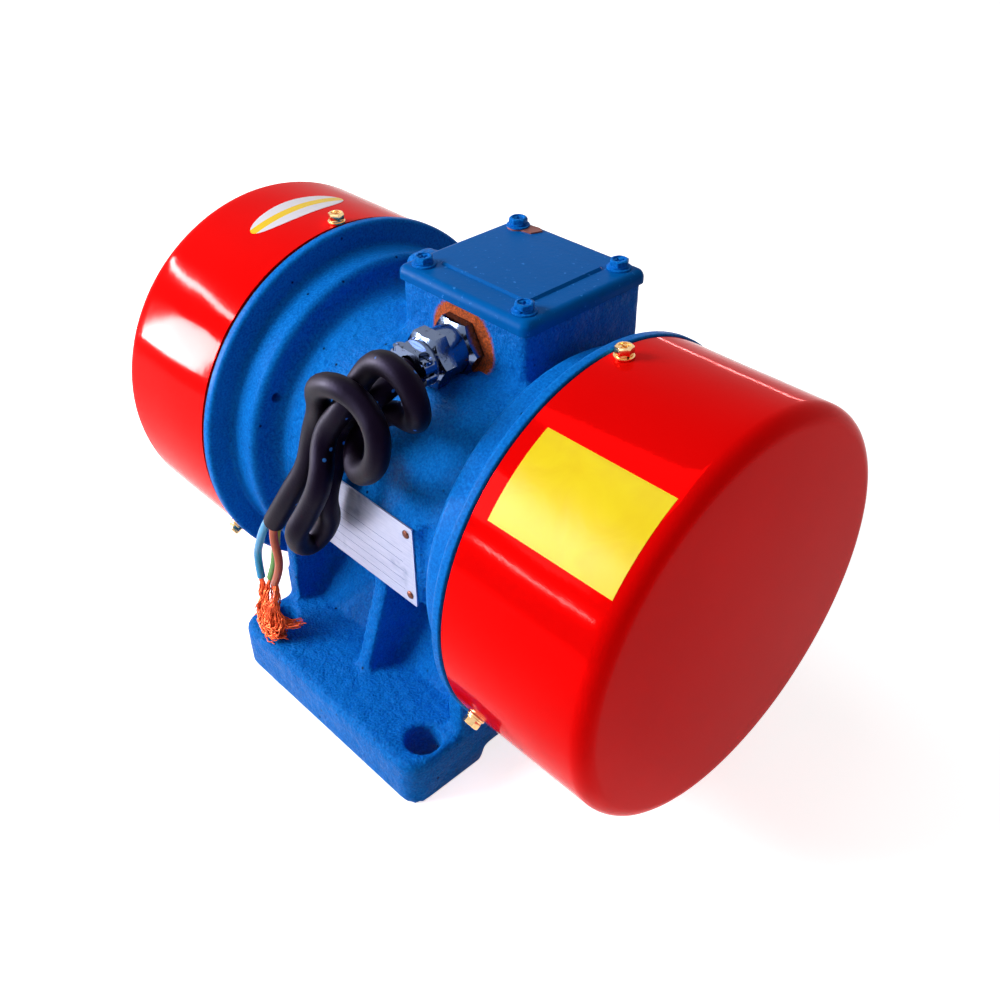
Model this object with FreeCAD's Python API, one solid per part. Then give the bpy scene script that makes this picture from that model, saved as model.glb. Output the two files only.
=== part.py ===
"""Vibration motor: a foot-mounted electric motor whose shaft carries an eccentric weight at each end.

The shaft lies along X at the axis height. The origin is the centre of the four foot holes, on the
plane that the feet stand on. +X is towards the right-hand cover, -Y is the side with the cable gland
and the rating plate, and +Z is up. All sizes are millimetres.
"""
import FreeCAD, Part
import math
import os
from FreeCAD import Vector as V

# Overall layout
axis_height = 133.6
flange_face = 100.0
cover_end = 189.5
running_gap = 0.05
seat_gap = 0.15

# Stator barrel and its end flanges, all in one iron casting
barrel_radius = 81.0
barrel_half = 72.0
barrel_fillet = 7.0
step_height = 16.0
step_round = 5.0
flange_height = 14.0
flange_thickness = 6.2
flange_round = 1.0
flange_back_round = 2.5
spigot_inset = 3.3
spigot_length = 22.0
spigot_wall = 10.0
barrel_wall = 15.0
shield_bore_step = 3.0
shield_bore_depth = 22.0
grease_hole_radius = 2.8
grease_hole_depth = 9.0
grease_hole_angle = 61.0

# Foot
foot_half_x = 81.4
foot_half_y = 119.8
foot_thickness = 31.0
foot_corner = 12.0
foot_edge = 3.5
foot_relief = 9.0
foot_rail_inner = 69.0
foot_hole_radius = 10.0
foot_spacing_x = 134.8
foot_spacing_y = 198.0

# Side walls and ribs between the foot and the barrel
wall_inset = 12.0
wall_lean = 0.70
wall_half_x = 75.0
mid_rib_x = 3.0
rib_thickness = 10.0
mid_rib_reach = 10.0
mid_rib_knee_inset = 9.0
mid_rib_knee_drop = 48.6
end_rib_outer_x = 80.0
end_rib_reach = 2.0
end_rib_inset = 0.5
end_rib_drop = 41.6

# Terminal box, cast on the barrel behind its crest
box_centre_x = 17.0
box_centre_y = 24.0
box_length = 91.0
box_width = 84.0
box_rise = 28.4
box_corner = 3.5
box_wall = 7.0
box_depth = 35.0
boss_radius = 8.3
gasket_thickness = 1.5
lid_overhang = 1.8
lid_thickness = 5.5
lid_lip = 1.6
lid_lip_wall = 1.3
lid_corner = 5.0
lid_edge = 4.4
lid_panel_length = 64.0
lid_panel_width = 55.0
lid_panel_height = 1.3
lid_bolt_spacing_x = 72.6
lid_bolt_spacing_y = 67.5

# Lug cast beside the box, and the deck and side panel under it
lug_outer_x = -47.5
lug_front_y = -1.0
lug_back_y = 17.0
lug_rise = 1.6
lug_round = 6.0
lug_corner = 4.0
lug_gap = 0.6
deck_left = -28.5
deck_right = 71.0
deck_back_rise = 1.0
deck_front_angle = 30.0
deck_rise = 4.5
panel_rise = 3.0
panel_flattening = 0.8
ridge_round = 9.0

# Rating plate and the pad that it is riveted to
plate_standoff = 3.0
plate_thickness = 0.8
plate_length = 93.0
plate_height = 51.0
plate_centre_x = 4.5
plate_drop = 1.2
plate_round = 1.0
pad_left = -39.0
pad_right = 53.5
pad_drop = 24.6
pad_rise = 27.9
pad_bevel = 5.0
rivet_radius = 1.6
rivet_inset_x = 5.0
rivet_inset_z = 5.5

# Hexagon bolts: M6 in the lid, M5 in the covers, all with a cross recess and two washers
lid_bolt_radius = 3.0
lid_bolt_across_flats = 9.0
lid_bolt_head = 2.9
lid_bolt_length = 19.0
lid_washer_radius = 6.4
lid_washer_thickness = 0.9
cover_bolt_radius = 2.5
cover_bolt_across_flats = 8.0
cover_bolt_head = 3.6
cover_bolt_length = 10.5
cover_washer_radius = 5.0
cover_washer_thickness = 1.0
spring_washer_thickness = 1.1
recess_width = 1.3
recess_depth = 1.4
head_dish_depth = 0.9
head_dish_share = 0.38
head_chamfer_share = 0.90
cover_bolt_angles = (90.0, -30.0, 210.0)
cover_bolt_x = 107.2

# Deep-drawn end covers and the rubber rings behind them
cover_step = 2.3
cover_wall = 2.0
cover_edge = 9.0
left_cover_gap = 3.2
right_cover_gap = 0.9
seal_inset = 1.5

# Earth tag under one lid bolt
tag_length = 15.0
tag_width = 8.4
tag_point = 3.5
tag_turn = 10.0
tag_thickness = 0.8

# Cable gland on the front wall of the box
gland_x = 18.5
gland_drop = 20.0
gland_thread_radius = 10.0
gland_face_radius = 18.5
gland_face_thickness = 1.2
gland_hex_flats = 29.0
gland_hex_thickness = 7.0
gland_barrel_radius = 13.0
gland_barrel_length = 9.6
gland_nut_flats = 27.0
gland_nut_thickness = 9.0
gland_neck_radius = 9.2
gland_jaw_thickness = 6.5
gland_jaw_half_width = 14.5
gland_jaw_half_height = 9.5
gland_screw_radius = 1.6
gland_screw_seat = 5.2
gland_room = 0.8
gland_nut_inner_thickness = 4.0

# Terminal board in the box
board_length = 52.0
board_width = 34.0
board_thickness = 4.0
board_lift = 12.0
board_post_radius = 5.0
board_post_spacing = 47.0
stud_spacing = 15.0
stud_radius = 2.5
stud_drop = 4.0

# Stator and rotor
core_half = 36.0
stator_inner_radius = 40.0
air_gap = 0.6
stator_slots = 18
slot_width = 6.0
slot_depth = 13.0
winding_inner_radius = 44.0
winding_outer_radius = 60.0
winding_end = 57.0
end_ring_inner_radius = 28.0
end_ring_thickness = 7.0
fan_blades = 8
shaft_core_radius = 22.0
shaft_shoulder_radius = 21.0
shaft_weight_radius = 15.0
shaft_end = 181.0

# Roller bearings, their shields and their caps
bearing_inner_x = 70.0
bearing_width = 23.0
bearing_bore_radius = 17.5
bearing_outer_radius = 36.0
inner_race_radius = 22.4
outer_race_radius = 31.6
roller_radius = 4.5
roller_length = 14.0
roller_count = 12
roller_play = 0.1
cage_thickness = 4.6
cage_width = 19.0
shield_flange_thickness = 12.0
shield_hub_radius = 46.0
shield_lip_radius = 26.0
shield_lip_thickness = 4.0
shield_bolt_circle = 74.5
shield_bolt_count = 6
shield_bolt_radius = 3.0
cap_thickness = 4.0
cap_screw_circle = 41.0
cap_screw_count = 4
cap_screw_radius = 2.0

# Eccentric weights, their key and the ring that holds them on the shaft
spacer_radius = 20.5
weight_gap = 1.0
fixed_weight_start = 128.2
weight_thickness = 21.8
weight_clearance = 12.0
weight_hub_radius = 30.0
weight_corner = 4.0
clamp_slit = 3.0
clamp_lug_half = 17.0
clamp_lug_height = 46.0
clamp_bolt_radius = 4.0
clamp_bolt_flats = 13.0
key_width = 8.0
key_height = 7.0
key_length = 18.0
circlip_thickness = 1.75
circlip_radius = 18.5
groove_depth = 1.0

# Cable: a rubber lead, its three cores and their bared copper ends
cable_radius = 6.2
core_radius = 2.4
strand_radius = 1.7
strand_ball_radius = 8.0
cable_gland_y = -26.0

# Route of the lead from the gland's mouth to the end of its jacket, and of each core from there on.
# Each point is x from the gland's axis, y, and z from the gland's axis.
cable_route = [
    (0, -54, 0), (0, -65, 0), (-5, -74, -6), (-19.5, -75.5, -19.5), (-28.5, -75.5, -33.5),
    (-23.5, -87, -50), (-22, -96.5, -68.5), (-25.5, -92, -86.5), (-38, -97.5, -101.5),
    (-43.5, -116.5, -99), (-36.5, -124.5, -82), (-19.5, -108, -66), (-10.5, -104, -48),
    (-18.5, -94, -29), (-4.5, -88.5, -7.5), (0.5, -79.5, 9.5), (15.5, -80, 21.5), (32.5, -79, 16.5),
    (36, -79, -1), (22.5, -79.5, -12), (1, -77.5, -14), (-4.5, -84.5, -34), (11, -97, -41),
    (27, -96.5, -27.5), (28.5, -95, -7), (15.5, -93, 4), (0.5, -96.5, 9), (-18.5, -95.5, -0.5),
    (-29.5, -88, -19), (-37, -88.5, -38), (-40.5, -92, -59), (-50.5, -97, -77), (-61, -101, -95.5),
    (-68, -102, -106.5)]
core_routes = {
    "wire_blue": [
        (-70.7, -103.3, -104.7), (-76.7, -104.2, -114.1), (-86, -103.5, -130), (-94.5, -103, -147),
        (-91.5, -104, -161)],
    "wire_yellow_green": [
        (-67.1, -99.3, -107.3), (-71.5, -99.6, -115), (-73.5, -101, -129), (-77, -101.5, -144),
        (-84.5, -101.5, -158.5)],
    "wire_brown": [
        (-65.8, -104.2, -107.7), (-68, -104.8, -117), (-66, -104, -131), (-69, -104.5, -144),
        (-74.5, -105, -154.5)],
}
strand_ball = (-72, -111.5, -183.7)

X = V(1, 0, 0)
Y = V(0, 1, 0)
Z = V(0, 0, 1)
SIDES = (("left", -1), ("right", 1))


def axle(r, x0, x1):
    """Round bar on the shaft axis between two places along X."""
    low, high = min(x0, x1), max(x0, x1)
    return Part.makeCylinder(r, high - low, V(low, 0, axis_height), X)


def collar(outer, inner, x0, x1):
    """Ring on the shaft axis; the bore runs clean through."""
    return axle(outer, x0, x1).cut(axle(inner, min(x0, x1) - 1, max(x0, x1) + 1))


def block(x0, x1, y0, y1, z0, z1):
    return Part.makeBox(x1 - x0, y1 - y0, z1 - z0, V(x0, y0, z0))


def mirrored(shape, side):
    """The same piece at the other end of the motor."""
    return shape if side > 0 else shape.mirror(V(0, 0, 0), X)


def rounded_wire(corners):
    """Closed outline through (point, radius) corners, each corner rounded by an arc of its radius."""
    edges, starts, ends = [], [], []
    count = len(corners)
    for i, (p, r) in enumerate(corners):
        before = (corners[i - 1][0] - p).normalize()
        after = (corners[(i + 1) % count][0] - p).normalize()
        if r <= 0:
            starts.append(p)
            ends.append(p)
            edges.append(None)
            continue
        half = before.getAngle(after) / 2
        reach = r / math.tan(half)
        a, b = p + before * reach, p + after * reach
        middle = p + (before + after).normalize() * (r / math.sin(half) - r)
        starts.append(a)
        ends.append(b)
        edges.append(Part.Arc(a, middle, b).toShape())
    outline = []
    for i in range(count):
        if edges[i] is not None:
            outline.append(edges[i])
        nxt = starts[(i + 1) % count]
        if ends[i].distanceToPoint(nxt) > 1e-6:
            outline.append(Part.LineSegment(ends[i], nxt).toShape())
    return Part.Wire(outline)


def turned(profile):
    """Solid of revolution about the shaft axis from (x, radius, rounding) corners."""
    corners = [(V(x, 0, axis_height + r), rounding) for x, r, rounding in profile]
    face = Part.Face(rounded_wire(corners))
    return face.revolve(V(0, 0, axis_height), X, 360)


def slab(outline, direction):
    """Straight extrusion of a closed outline of (point, radius) corners."""
    return Part.Face(rounded_wire(outline)).extrude(direction)


def side_profile(points, x0, x1):
    """Extrusion along X of a (y, z) polygon."""
    return slab([(V(x0, y, z), 0) for y, z in points], X * (x1 - x0))


def plan_rectangle(cx, cy, length, width, z, corner):
    hx, hy = length / 2, width / 2
    places = ((-hx, -hy), (hx, -hy), (hx, hy), (-hx, hy))
    return [(V(cx + dx, cy + dy, z), corner) for dx, dy in places]


def hexagon(flats, height):
    """Hexagonal prism standing on the XY plane, its corners turned off at both ends."""
    across = flats / math.sqrt(3)
    turns = [math.radians(60 * i) for i in range(6)]
    outline = [(V(across * math.cos(t), across * math.sin(t), 0), 0) for t in turns]
    prism = slab(outline, Z * height)
    dome = Part.makeCone(flats / 2 + height * 1.5, flats / 2 * head_chamfer_share, height * 1.01)
    return prism.common(dome)


def hex_bolt(shank_r, shank_length, flats, head):
    """Bolt along Z, its head's seat at z = 0, with a cross recess in a dished head."""
    body = hexagon(flats, head)
    dish_floor = head - head_dish_depth
    body = body.cut(Part.makeCylinder(flats * head_dish_share, head_dish_depth, V(0, 0, dish_floor)))
    arm = flats * head_dish_share * 0.85
    for turn in (0, 90):
        slot = Part.makeBox(2 * arm, recess_width, recess_depth,
                            V(-arm, -recess_width / 2, dish_floor - recess_depth))
        slot.rotate(V(0, 0, 0), Z, turn + 45)
        body = body.cut(slot)
    shank = Part.makeCylinder(shank_r, shank_length, V(0, 0, -shank_length))
    return body.fuse(shank).removeSplitter()


def washer(outer, inner, thickness):
    return Part.makeCylinder(outer, thickness).cut(Part.makeCylinder(inner, thickness))


def spring_washer(outer, inner, thickness):
    """Split ring; the cut ends stand a little apart."""
    ring = washer(outer, inner, thickness)
    slit = Part.makeBox(outer + 1, 0.8, thickness, V(0, -0.4, 0))
    slit.rotate(V(0, 0, 0), Z, 25)
    return ring.cut(slit)


def stand(shape, foot, direction):
    """A copy of a piece made along Z, moved so that it stands at foot and points along direction."""
    placed = shape.copy()
    placed.Placement = FreeCAD.Placement(foot, FreeCAD.Rotation(Z, direction))
    return placed


def save(name, solids):
    """Writes one node; a node of several loose solids is a compound."""
    pieces = solids if isinstance(solids, list) else [solids]
    flat = [s for piece in pieces for s in piece.Solids]
    shape = flat[0] if len(flat) == 1 else Part.makeCompound(flat)
    assert all(s.isValid() for s in flat), name
    shape.exportStep(f"parts/{name}.step")
    volume = sum(s.Volume for s in flat)
    print(f"{name}: {len(flat)} solid(s), {volume / 1000:.1f} cm3")


def around(radius, count, offset=0.0):
    """Places (y, z) evenly spaced round the shaft axis."""
    for i in range(count):
        t = math.radians(offset + 360 * i / count)
        yield radius * math.cos(t), axis_height + radius * math.sin(t)


# Sizes that follow from the ones above
step_radius = barrel_radius + step_height
flange_radius = step_radius + flange_height
spigot_radius = flange_radius - spigot_inset
stator_bore_radius = barrel_radius - barrel_wall
shield_bore_radius = barrel_radius + shield_bore_step
wall_base_y = barrel_radius - wall_inset
mid_rib_base_y = barrel_radius + mid_rib_reach
mid_rib_knee_y = barrel_radius - mid_rib_knee_inset
mid_rib_knee_z = axis_height - mid_rib_knee_drop
end_rib_base_y = barrel_radius + end_rib_reach
end_rib_top_y = barrel_radius - end_rib_inset
end_rib_top_z = axis_height - end_rib_drop
box_top = axis_height + barrel_radius + box_rise
box_floor = box_top - box_depth
lug_top = box_top + lug_rise
deck_back_z = axis_height + barrel_radius + deck_back_rise
deck_front_y = -(barrel_radius + deck_rise) * math.sin(math.radians(deck_front_angle))
plate_face_y = -(barrel_radius + plate_standoff)
plate_centre_z = axis_height - plate_drop
pad_low = axis_height - pad_drop
pad_top = axis_height + pad_rise
cover_radius = spigot_radius + cover_step
gland_z = box_top - gland_drop
stud_top = box_top - stud_drop
weight_radius = cover_radius - weight_clearance
spigot_end = flange_face + spigot_length
spigot_bore_radius = spigot_radius - spigot_wall
shield_seat = flange_face - shield_bore_depth
bearing_outer_x = bearing_inner_x + bearing_width
bearing_mid_x = (bearing_inner_x + bearing_outer_x) / 2
pitch_radius = (inner_race_radius + outer_race_radius) / 2
rotor_radius = stator_inner_radius - air_gap
adjustable_weight_start = fixed_weight_start + weight_thickness + weight_gap
circlip_x = adjustable_weight_start + weight_thickness + weight_gap
key_start = fixed_weight_start + (weight_thickness - key_length) / 2
lid_under = box_top + gasket_thickness
lid_top = lid_under + lid_thickness
lid_bolt_places = [(box_centre_x + sx * lid_bolt_spacing_x / 2, box_centre_y + sy * lid_bolt_spacing_y / 2)
                   for sx in (-1, 1) for sy in (-1, 1)]
box_front_y = box_centre_y - box_width / 2
foot_holes = [(sx * foot_spacing_x / 2, sy * foot_spacing_y / 2) for sx in (-1, 1) for sy in (-1, 1)]
plate_back_y = plate_face_y + plate_thickness
gland_seat_y = box_front_y - gland_face_thickness


def casting_barrel():
    """Turned outer form: barrel, stepped drum, flange and the spigot that each cover slides over."""
    end = [(spigot_end, spigot_radius, 1.0), (flange_face, spigot_radius, 0),
           (flange_face, flange_radius, flange_round),
           (flange_face - flange_thickness, flange_radius, flange_back_round),
           (flange_face - flange_thickness, step_radius, 1.5), (barrel_half, step_radius, step_round),
           (barrel_half, barrel_radius, barrel_fillet)]
    other = [(-x, r, f) for x, r, f in reversed(end)]
    return turned([(spigot_end, 0, 0)] + end + other + [(-spigot_end, 0, 0)])


def casting_foot():
    outline = plan_rectangle(0, 0, 2 * foot_half_x, 2 * foot_half_y, 0, foot_corner)
    foot = slab(outline, Z * foot_thickness)
    top_edges = [e for e in foot.Edges if all(abs(v.Z - foot_thickness) < 1e-6 for v in e.Vertexes)]
    foot = foot.makeFillet(foot_edge, top_edges)
    relief = side_profile([(-foot_rail_inner, -1), (-foot_rail_inner + 3, foot_relief), (foot_rail_inner - 3, foot_relief),
                           (foot_rail_inner, -1)], -foot_half_x - 1, foot_half_x + 1)
    return foot.cut(relief)


def casting_walls():
    """Leaning side walls and the ribs that brace the barrel on the foot, the same on both sides."""
    inner = barrel_radius / 2
    rise = (wall_base_y - inner) / wall_lean
    low = foot_thickness - foot_edge
    pieces = []
    for s in (-1, 1):
        wall = [(s * (wall_base_y + foot_edge * wall_lean), low), (s * inner, foot_thickness + rise), (0, foot_thickness + rise), (0, low)]
        pieces.append(side_profile(wall, -wall_half_x, wall_half_x))
        lean = (mid_rib_base_y - mid_rib_knee_y) / (mid_rib_knee_z - foot_thickness)
        middle = [(s * (mid_rib_base_y + foot_edge * lean), low), (s * mid_rib_knee_y, mid_rib_knee_z),
                  (s * (barrel_radius - 4), pad_low), (s * inner, pad_low), (s * inner, low)]
        pieces.append(side_profile(middle, mid_rib_x - rib_thickness / 2, mid_rib_x + rib_thickness / 2))
        outer = [(s * end_rib_base_y, low), (s * end_rib_top_y, end_rib_top_z), (s * inner, end_rib_top_z), (s * inner, low)]
        for sx in (-1, 1):
            x0, x1 = sorted((sx * end_rib_outer_x, sx * (end_rib_outer_x - rib_thickness)))
            pieces.append(side_profile(outer, x0, x1))
    return pieces


def casting_box():
    """Terminal box walls, the lug beside them, and the deck and flat panel in front."""
    outline = plan_rectangle(box_centre_x, box_centre_y, box_length, box_width, axis_height, box_corner)
    walls = slab(outline, Z * (box_top - axis_height))
    ridge = V(0, deck_front_y, axis_height + math.sqrt((barrel_radius + deck_rise) ** 2 - deck_front_y ** 2))
    low = V(0, -math.sqrt((barrel_radius + panel_rise) ** 2 - (pad_top - axis_height) ** 2), pad_top)
    bulge = (ridge + low) / 2 - V(0, 0, axis_height)
    bulge = bulge.normalize() * (barrel_radius + (deck_rise + panel_rise) / 2 - panel_flattening) + V(0, 0, axis_height)
    corners = [low, V(0, -barrel_radius / 2, pad_top), V(0, 0, axis_height), V(0, 0, deck_back_z),
               V(0, box_front_y, deck_back_z), ridge]
    edges = [Part.LineSegment(a, b).toShape() for a, b in zip(corners, corners[1:])]
    edges.append(Part.Arc(ridge, bulge, low).toShape())
    saddle = Part.Face(Part.Wire(edges)).extrude(X * (deck_right - deck_left))
    saddle.translate(X * deck_left)
    crest = [e for e in saddle.Edges if all(v.Point.distanceToPoint(V(v.X, ridge.y, ridge.z)) < 1e-6 for v in e.Vertexes)]
    saddle = saddle.makeFillet(ridge_round, crest)
    lug = [(V(lug_outer_x, lug_front_y, axis_height), 0), (V(lug_outer_x, lug_front_y, lug_top), lug_round),
           (V(deck_left + box_wall, lug_front_y, lug_top), 0), (V(deck_left + box_wall, lug_front_y, axis_height), 0)]
    lug = slab(lug, Y * (lug_back_y - lug_front_y))
    round_edges = [e for e in lug.Edges if abs(e.BoundBox.XMax - lug_outer_x) < 1e-6 and e.BoundBox.ZLength > box_depth / 2]
    lug = lug.makeFillet(lug_corner, round_edges)
    lid_side = box_centre_x - box_length / 2 - lid_overhang - lug_gap
    lug = lug.cut(block(lid_side, box_centre_x, -200, 200, lid_under - lid_lip - lug_gap, lug_top + 1))
    spot = Part.makeCylinder(gland_face_radius, gland_face_thickness + box_wall / 2, V(gland_x, gland_seat_y, gland_z), Y)
    spot = spot.common(block(-200, 200, -200, 200, 0, lid_under - lid_lip - lug_gap))
    return [walls, saddle, lug, spot]


def casting_pad():
    """Raised pad for the rating plate, bevelled along its top and ends."""
    face = plate_back_y
    root = face + pad_bevel
    profile = [(-40, pad_low), (face, pad_low), (face, pad_top - pad_bevel), (root, pad_top), (-40, pad_top + 6)]
    pad = side_profile(profile, pad_left, pad_right)
    return pad


def casting_hollows():
    """Everything that is cut out of the casting."""
    cuts = [axle(stator_bore_radius + seat_gap, -spigot_end - 1, spigot_end + 1)]
    for _, side in SIDES:
        cuts.append(axle(shield_bore_radius + seat_gap, side * shield_seat, side * (spigot_end + 1)))
        cuts.append(axle(spigot_bore_radius, side * flange_face, side * (spigot_end + 1)))
        hole_r = (barrel_radius + step_radius) / 2 - 2.0
        t = math.radians(grease_hole_angle)
        place = V(side * barrel_half, -hole_r * math.sin(t), axis_height + hole_r * math.cos(t))
        cuts.append(Part.makeCylinder(grease_hole_radius, grease_hole_depth, place, X * side))
        for y, z in around(shield_bolt_circle, shield_bolt_count, 30):
            cuts.append(Part.makeCylinder(shield_bolt_radius + seat_gap, 16, V(side * shield_seat, y, z), X * -side))
        for angle in cover_bolt_angles:
            t = math.radians(angle)
            out = V(0, -math.cos(t), math.sin(t))
            inner = V(side * cover_bolt_x, 0, axis_height) + out * (spigot_bore_radius - 2)
            cuts.append(Part.makeCylinder(cover_bolt_radius + seat_gap, spigot_wall + 4, inner, out))
    outline = plan_rectangle(box_centre_x, box_centre_y, box_length - 2 * box_wall, box_width - 2 * box_wall, box_floor, box_corner / 2)
    cavity = slab(outline, Z * (box_top - box_floor + 1))
    for x, y in lid_bolt_places:
        cavity = cavity.cut(Part.makeCylinder(boss_radius, box_top - box_floor + 2, V(x, y, box_floor - 1)))
    for x in (-1, 1):
        place = V(box_centre_x + x * board_post_spacing / 2, box_centre_y, box_floor)
        cavity = cavity.cut(Part.makeCylinder(board_post_radius, board_lift, place))
    cuts.append(cavity)
    for x, y in lid_bolt_places:
        cuts.append(Part.makeCylinder(lid_bolt_radius + seat_gap, lid_bolt_length, V(x, y, box_top - lid_bolt_length + 5)))
    cuts.append(Part.makeCylinder(gland_thread_radius + seat_gap, 40, V(gland_x, box_front_y - 10, gland_z), Y)
                .common(block(-200, 200, -200, box_front_y + box_wall + 0.5, 0, 400)))
    reach = gland_seat_y
    for radius, length in ((gland_hex_flats / math.sqrt(3), gland_hex_thickness), (gland_barrel_radius, gland_barrel_length),
                           (gland_nut_flats / math.sqrt(3), gland_nut_thickness + gland_jaw_thickness + 4)):
        cuts.append(Part.makeCylinder(radius + gland_room, length + gland_room, V(gland_x, reach, gland_z), -Y))
        reach -= length
    for x, y in foot_holes:
        cuts.append(Part.makeCylinder(foot_hole_radius, foot_thickness + 2, V(x, y, -1)))
    for dx in (-1, 1):
        for dz in (-1, 1):
            cuts.append(Part.makeCylinder(rivet_radius + seat_gap, 6, rivet_place(dx, dz), Y))
    return cuts


def rivet_place(dx, dz):
    x = plate_centre_x + dx * (plate_length / 2 - rivet_inset_x)
    z = plate_centre_z + dz * (plate_height / 2 - rivet_inset_z)
    return V(x, plate_face_y, z)


def make_frame():
    barrel = casting_barrel()
    extras = casting_walls() + casting_box() + [casting_foot(), casting_pad()]
    casting = barrel.fuse(extras)
    casting = casting.cut(casting_hollows())
    save("frame_casting", casting.removeSplitter())


def make_lid():
    outer_l, outer_w = box_length + 2 * lid_overhang, box_width + 2 * lid_overhang
    plan = plan_rectangle(box_centre_x, box_centre_y, outer_l, outer_w, lid_under - lid_lip, lid_corner)
    lid = slab(plan, Z * (lid_thickness + lid_lip))
    top_edges = [e for e in lid.Edges if all(abs(v.Z - lid_top) < 1e-6 for v in e.Vertexes)]
    lid = lid.makeFillet(lid_edge, top_edges)
    inside = plan_rectangle(box_centre_x, box_centre_y, outer_l - 2 * lid_lip_wall, outer_w - 2 * lid_lip_wall,
                            lid_under - lid_lip - 1, lid_corner - lid_lip_wall)
    lid = lid.cut(slab(inside, Z * (lid_lip + 1)))
    panel = slab(plan_rectangle(box_centre_x, box_centre_y, lid_panel_length, lid_panel_width, lid_top - 1, 3.0),
                 Z * (1 + lid_panel_height))
    rim = [e for e in panel.Edges if all(abs(v.Z - lid_top - lid_panel_height) < 1e-6 for v in e.Vertexes)]
    lid = lid.fuse(panel.makeChamfer(lid_panel_height * 0.9, rim))
    gasket = slab(plan_rectangle(box_centre_x, box_centre_y, box_length - 1, box_width - 1, box_top, box_corner), Z * gasket_thickness)
    gasket = gasket.cut(slab(plan_rectangle(box_centre_x, box_centre_y, box_length - 2 * box_wall, box_width - 2 * box_wall,
                                            box_top - 1, box_corner / 2), Z * 4))
    ears = [Part.makeCylinder(boss_radius - 0.3, gasket_thickness, V(x, y, box_top)) for x, y in lid_bolt_places]
    gasket = gasket.fuse(ears)
    holes = [Part.makeCylinder(lid_bolt_radius + 0.3, 30, V(x, y, box_top - 5)) for x, y in lid_bolt_places]
    save("terminal_box_lid", lid.cut(holes).removeSplitter())
    save("terminal_box_gasket", gasket.cut(holes).removeSplitter())


def make_lid_bolts():
    bolts, flat, spring = [], [], []
    for i, (x, y) in enumerate(lid_bolt_places):
        lift = tag_thickness if i == 1 else 0.0
        seat = lid_top + lift
        flat.append(stand(washer(lid_washer_radius, lid_bolt_radius + seat_gap, lid_washer_thickness), V(x, y, seat), Z))
        ring = spring_washer(lid_washer_radius - 1.2, lid_bolt_radius + seat_gap, spring_washer_thickness)
        spring.append(stand(ring, V(x, y, seat + lid_washer_thickness), Z))
        bolt = hex_bolt(lid_bolt_radius, lid_bolt_length, lid_bolt_across_flats, lid_bolt_head)
        bolt.rotate(V(0, 0, 0), Z, 17 * i)
        bolt.translate(V(x, y, seat + lid_washer_thickness + spring_washer_thickness))
        bolts.append(bolt)
    save("lid_bolts", bolts)
    save("lid_spring_washers", spring)
    save("lid_flat_washers", flat)
    x, y = lid_bolt_places[1]
    half = tag_width / 2
    shoulder = tag_length - tag_point
    outline = ((0, -half), (shoulder, -half), (tag_length, half / 3), (shoulder, half), (0, half))
    tag = slab([(V(x + dx, y + dy, lid_top), 0) for dx, dy in outline], Z * tag_thickness)
    tag.rotate(V(x, y, 0), Z, tag_turn)
    tag = tag.fuse(Part.makeCylinder(lid_washer_radius - 0.2, tag_thickness, V(x, y, lid_top)))
    tag = tag.cut(Part.makeCylinder(lid_bolt_radius + 0.3, 10, V(x, y, lid_top - 2)))
    save("earth_tag", tag.removeSplitter())


def make_covers():
    bolts, flat, spring = [], [], []
    for name, side in SIDES:
        gap = left_cover_gap if side < 0 else right_cover_gap
        start = flange_face + gap
        inner = cover_radius - cover_wall
        profile = [(start, inner, 0), (start, cover_radius, 0), (cover_end, cover_radius, cover_edge), (cover_end, 0, 0),
                   (cover_end - cover_wall, 0, 0), (cover_end - cover_wall, inner, cover_edge - cover_wall)]
        shell = turned(profile)
        holes = []
        for angle in cover_bolt_angles:
            t = math.radians(angle)
            out = V(0, -math.cos(t), math.sin(t))
            centre = V(cover_bolt_x, 0, axis_height)
            holes.append(Part.makeCylinder(cover_bolt_radius + 0.3, 12, centre + out * (inner - 5), out))
            seat = V(side * cover_bolt_x, 0, axis_height) + out * (cover_radius + 0.08)
            flat.append(stand(washer(cover_washer_radius, cover_bolt_radius + seat_gap, cover_washer_thickness), seat, out))
            ring = spring_washer(cover_washer_radius - 0.8, cover_bolt_radius + seat_gap, spring_washer_thickness)
            spring.append(stand(ring, seat + out * cover_washer_thickness, out))
            bolt = hex_bolt(cover_bolt_radius, cover_bolt_length, cover_bolt_across_flats, cover_bolt_head)
            bolts.append(stand(bolt, seat + out * (cover_washer_thickness + spring_washer_thickness), out))
        save(f"end_cover_{name}", mirrored(shell.cut(holes), side))
        seal = collar(cover_radius - seal_inset, spigot_radius + running_gap, flange_face, start - 0.1)
        save(f"cover_seal_{name}", mirrored(seal, side))
    save("cover_bolts", bolts)
    save("cover_spring_washers", spring)
    save("cover_flat_washers", flat)


def make_nameplate():
    hx, hz = plate_length / 2, plate_height / 2
    outline = [(V(plate_centre_x + dx * hx, plate_face_y, plate_centre_z + dz * hz), plate_round)
               for dx, dz in ((-1, -1), (1, -1), (1, 1), (-1, 1))]
    plate = slab(outline, Y * plate_thickness)
    rivets, holes = [], []
    for dx in (-1, 1):
        for dz in (-1, 1):
            place = rivet_place(dx, dz)
            holes.append(Part.makeCylinder(rivet_radius + 0.1, 4, place - Y, Y))
            shank = Part.makeCylinder(rivet_radius, plate_thickness + 4, place, Y)
            ball = Part.makeSphere(2.6 * rivet_radius, place + Y * (1.75 * rivet_radius))
            head = ball.common(Part.makeCylinder(2.6 * rivet_radius, 4, place - Y * 4, Y))
            rivets.append(shank.fuse(head).removeSplitter())
    save("nameplate", plate.cut(holes))
    save("nameplate_rivets", rivets)


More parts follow.
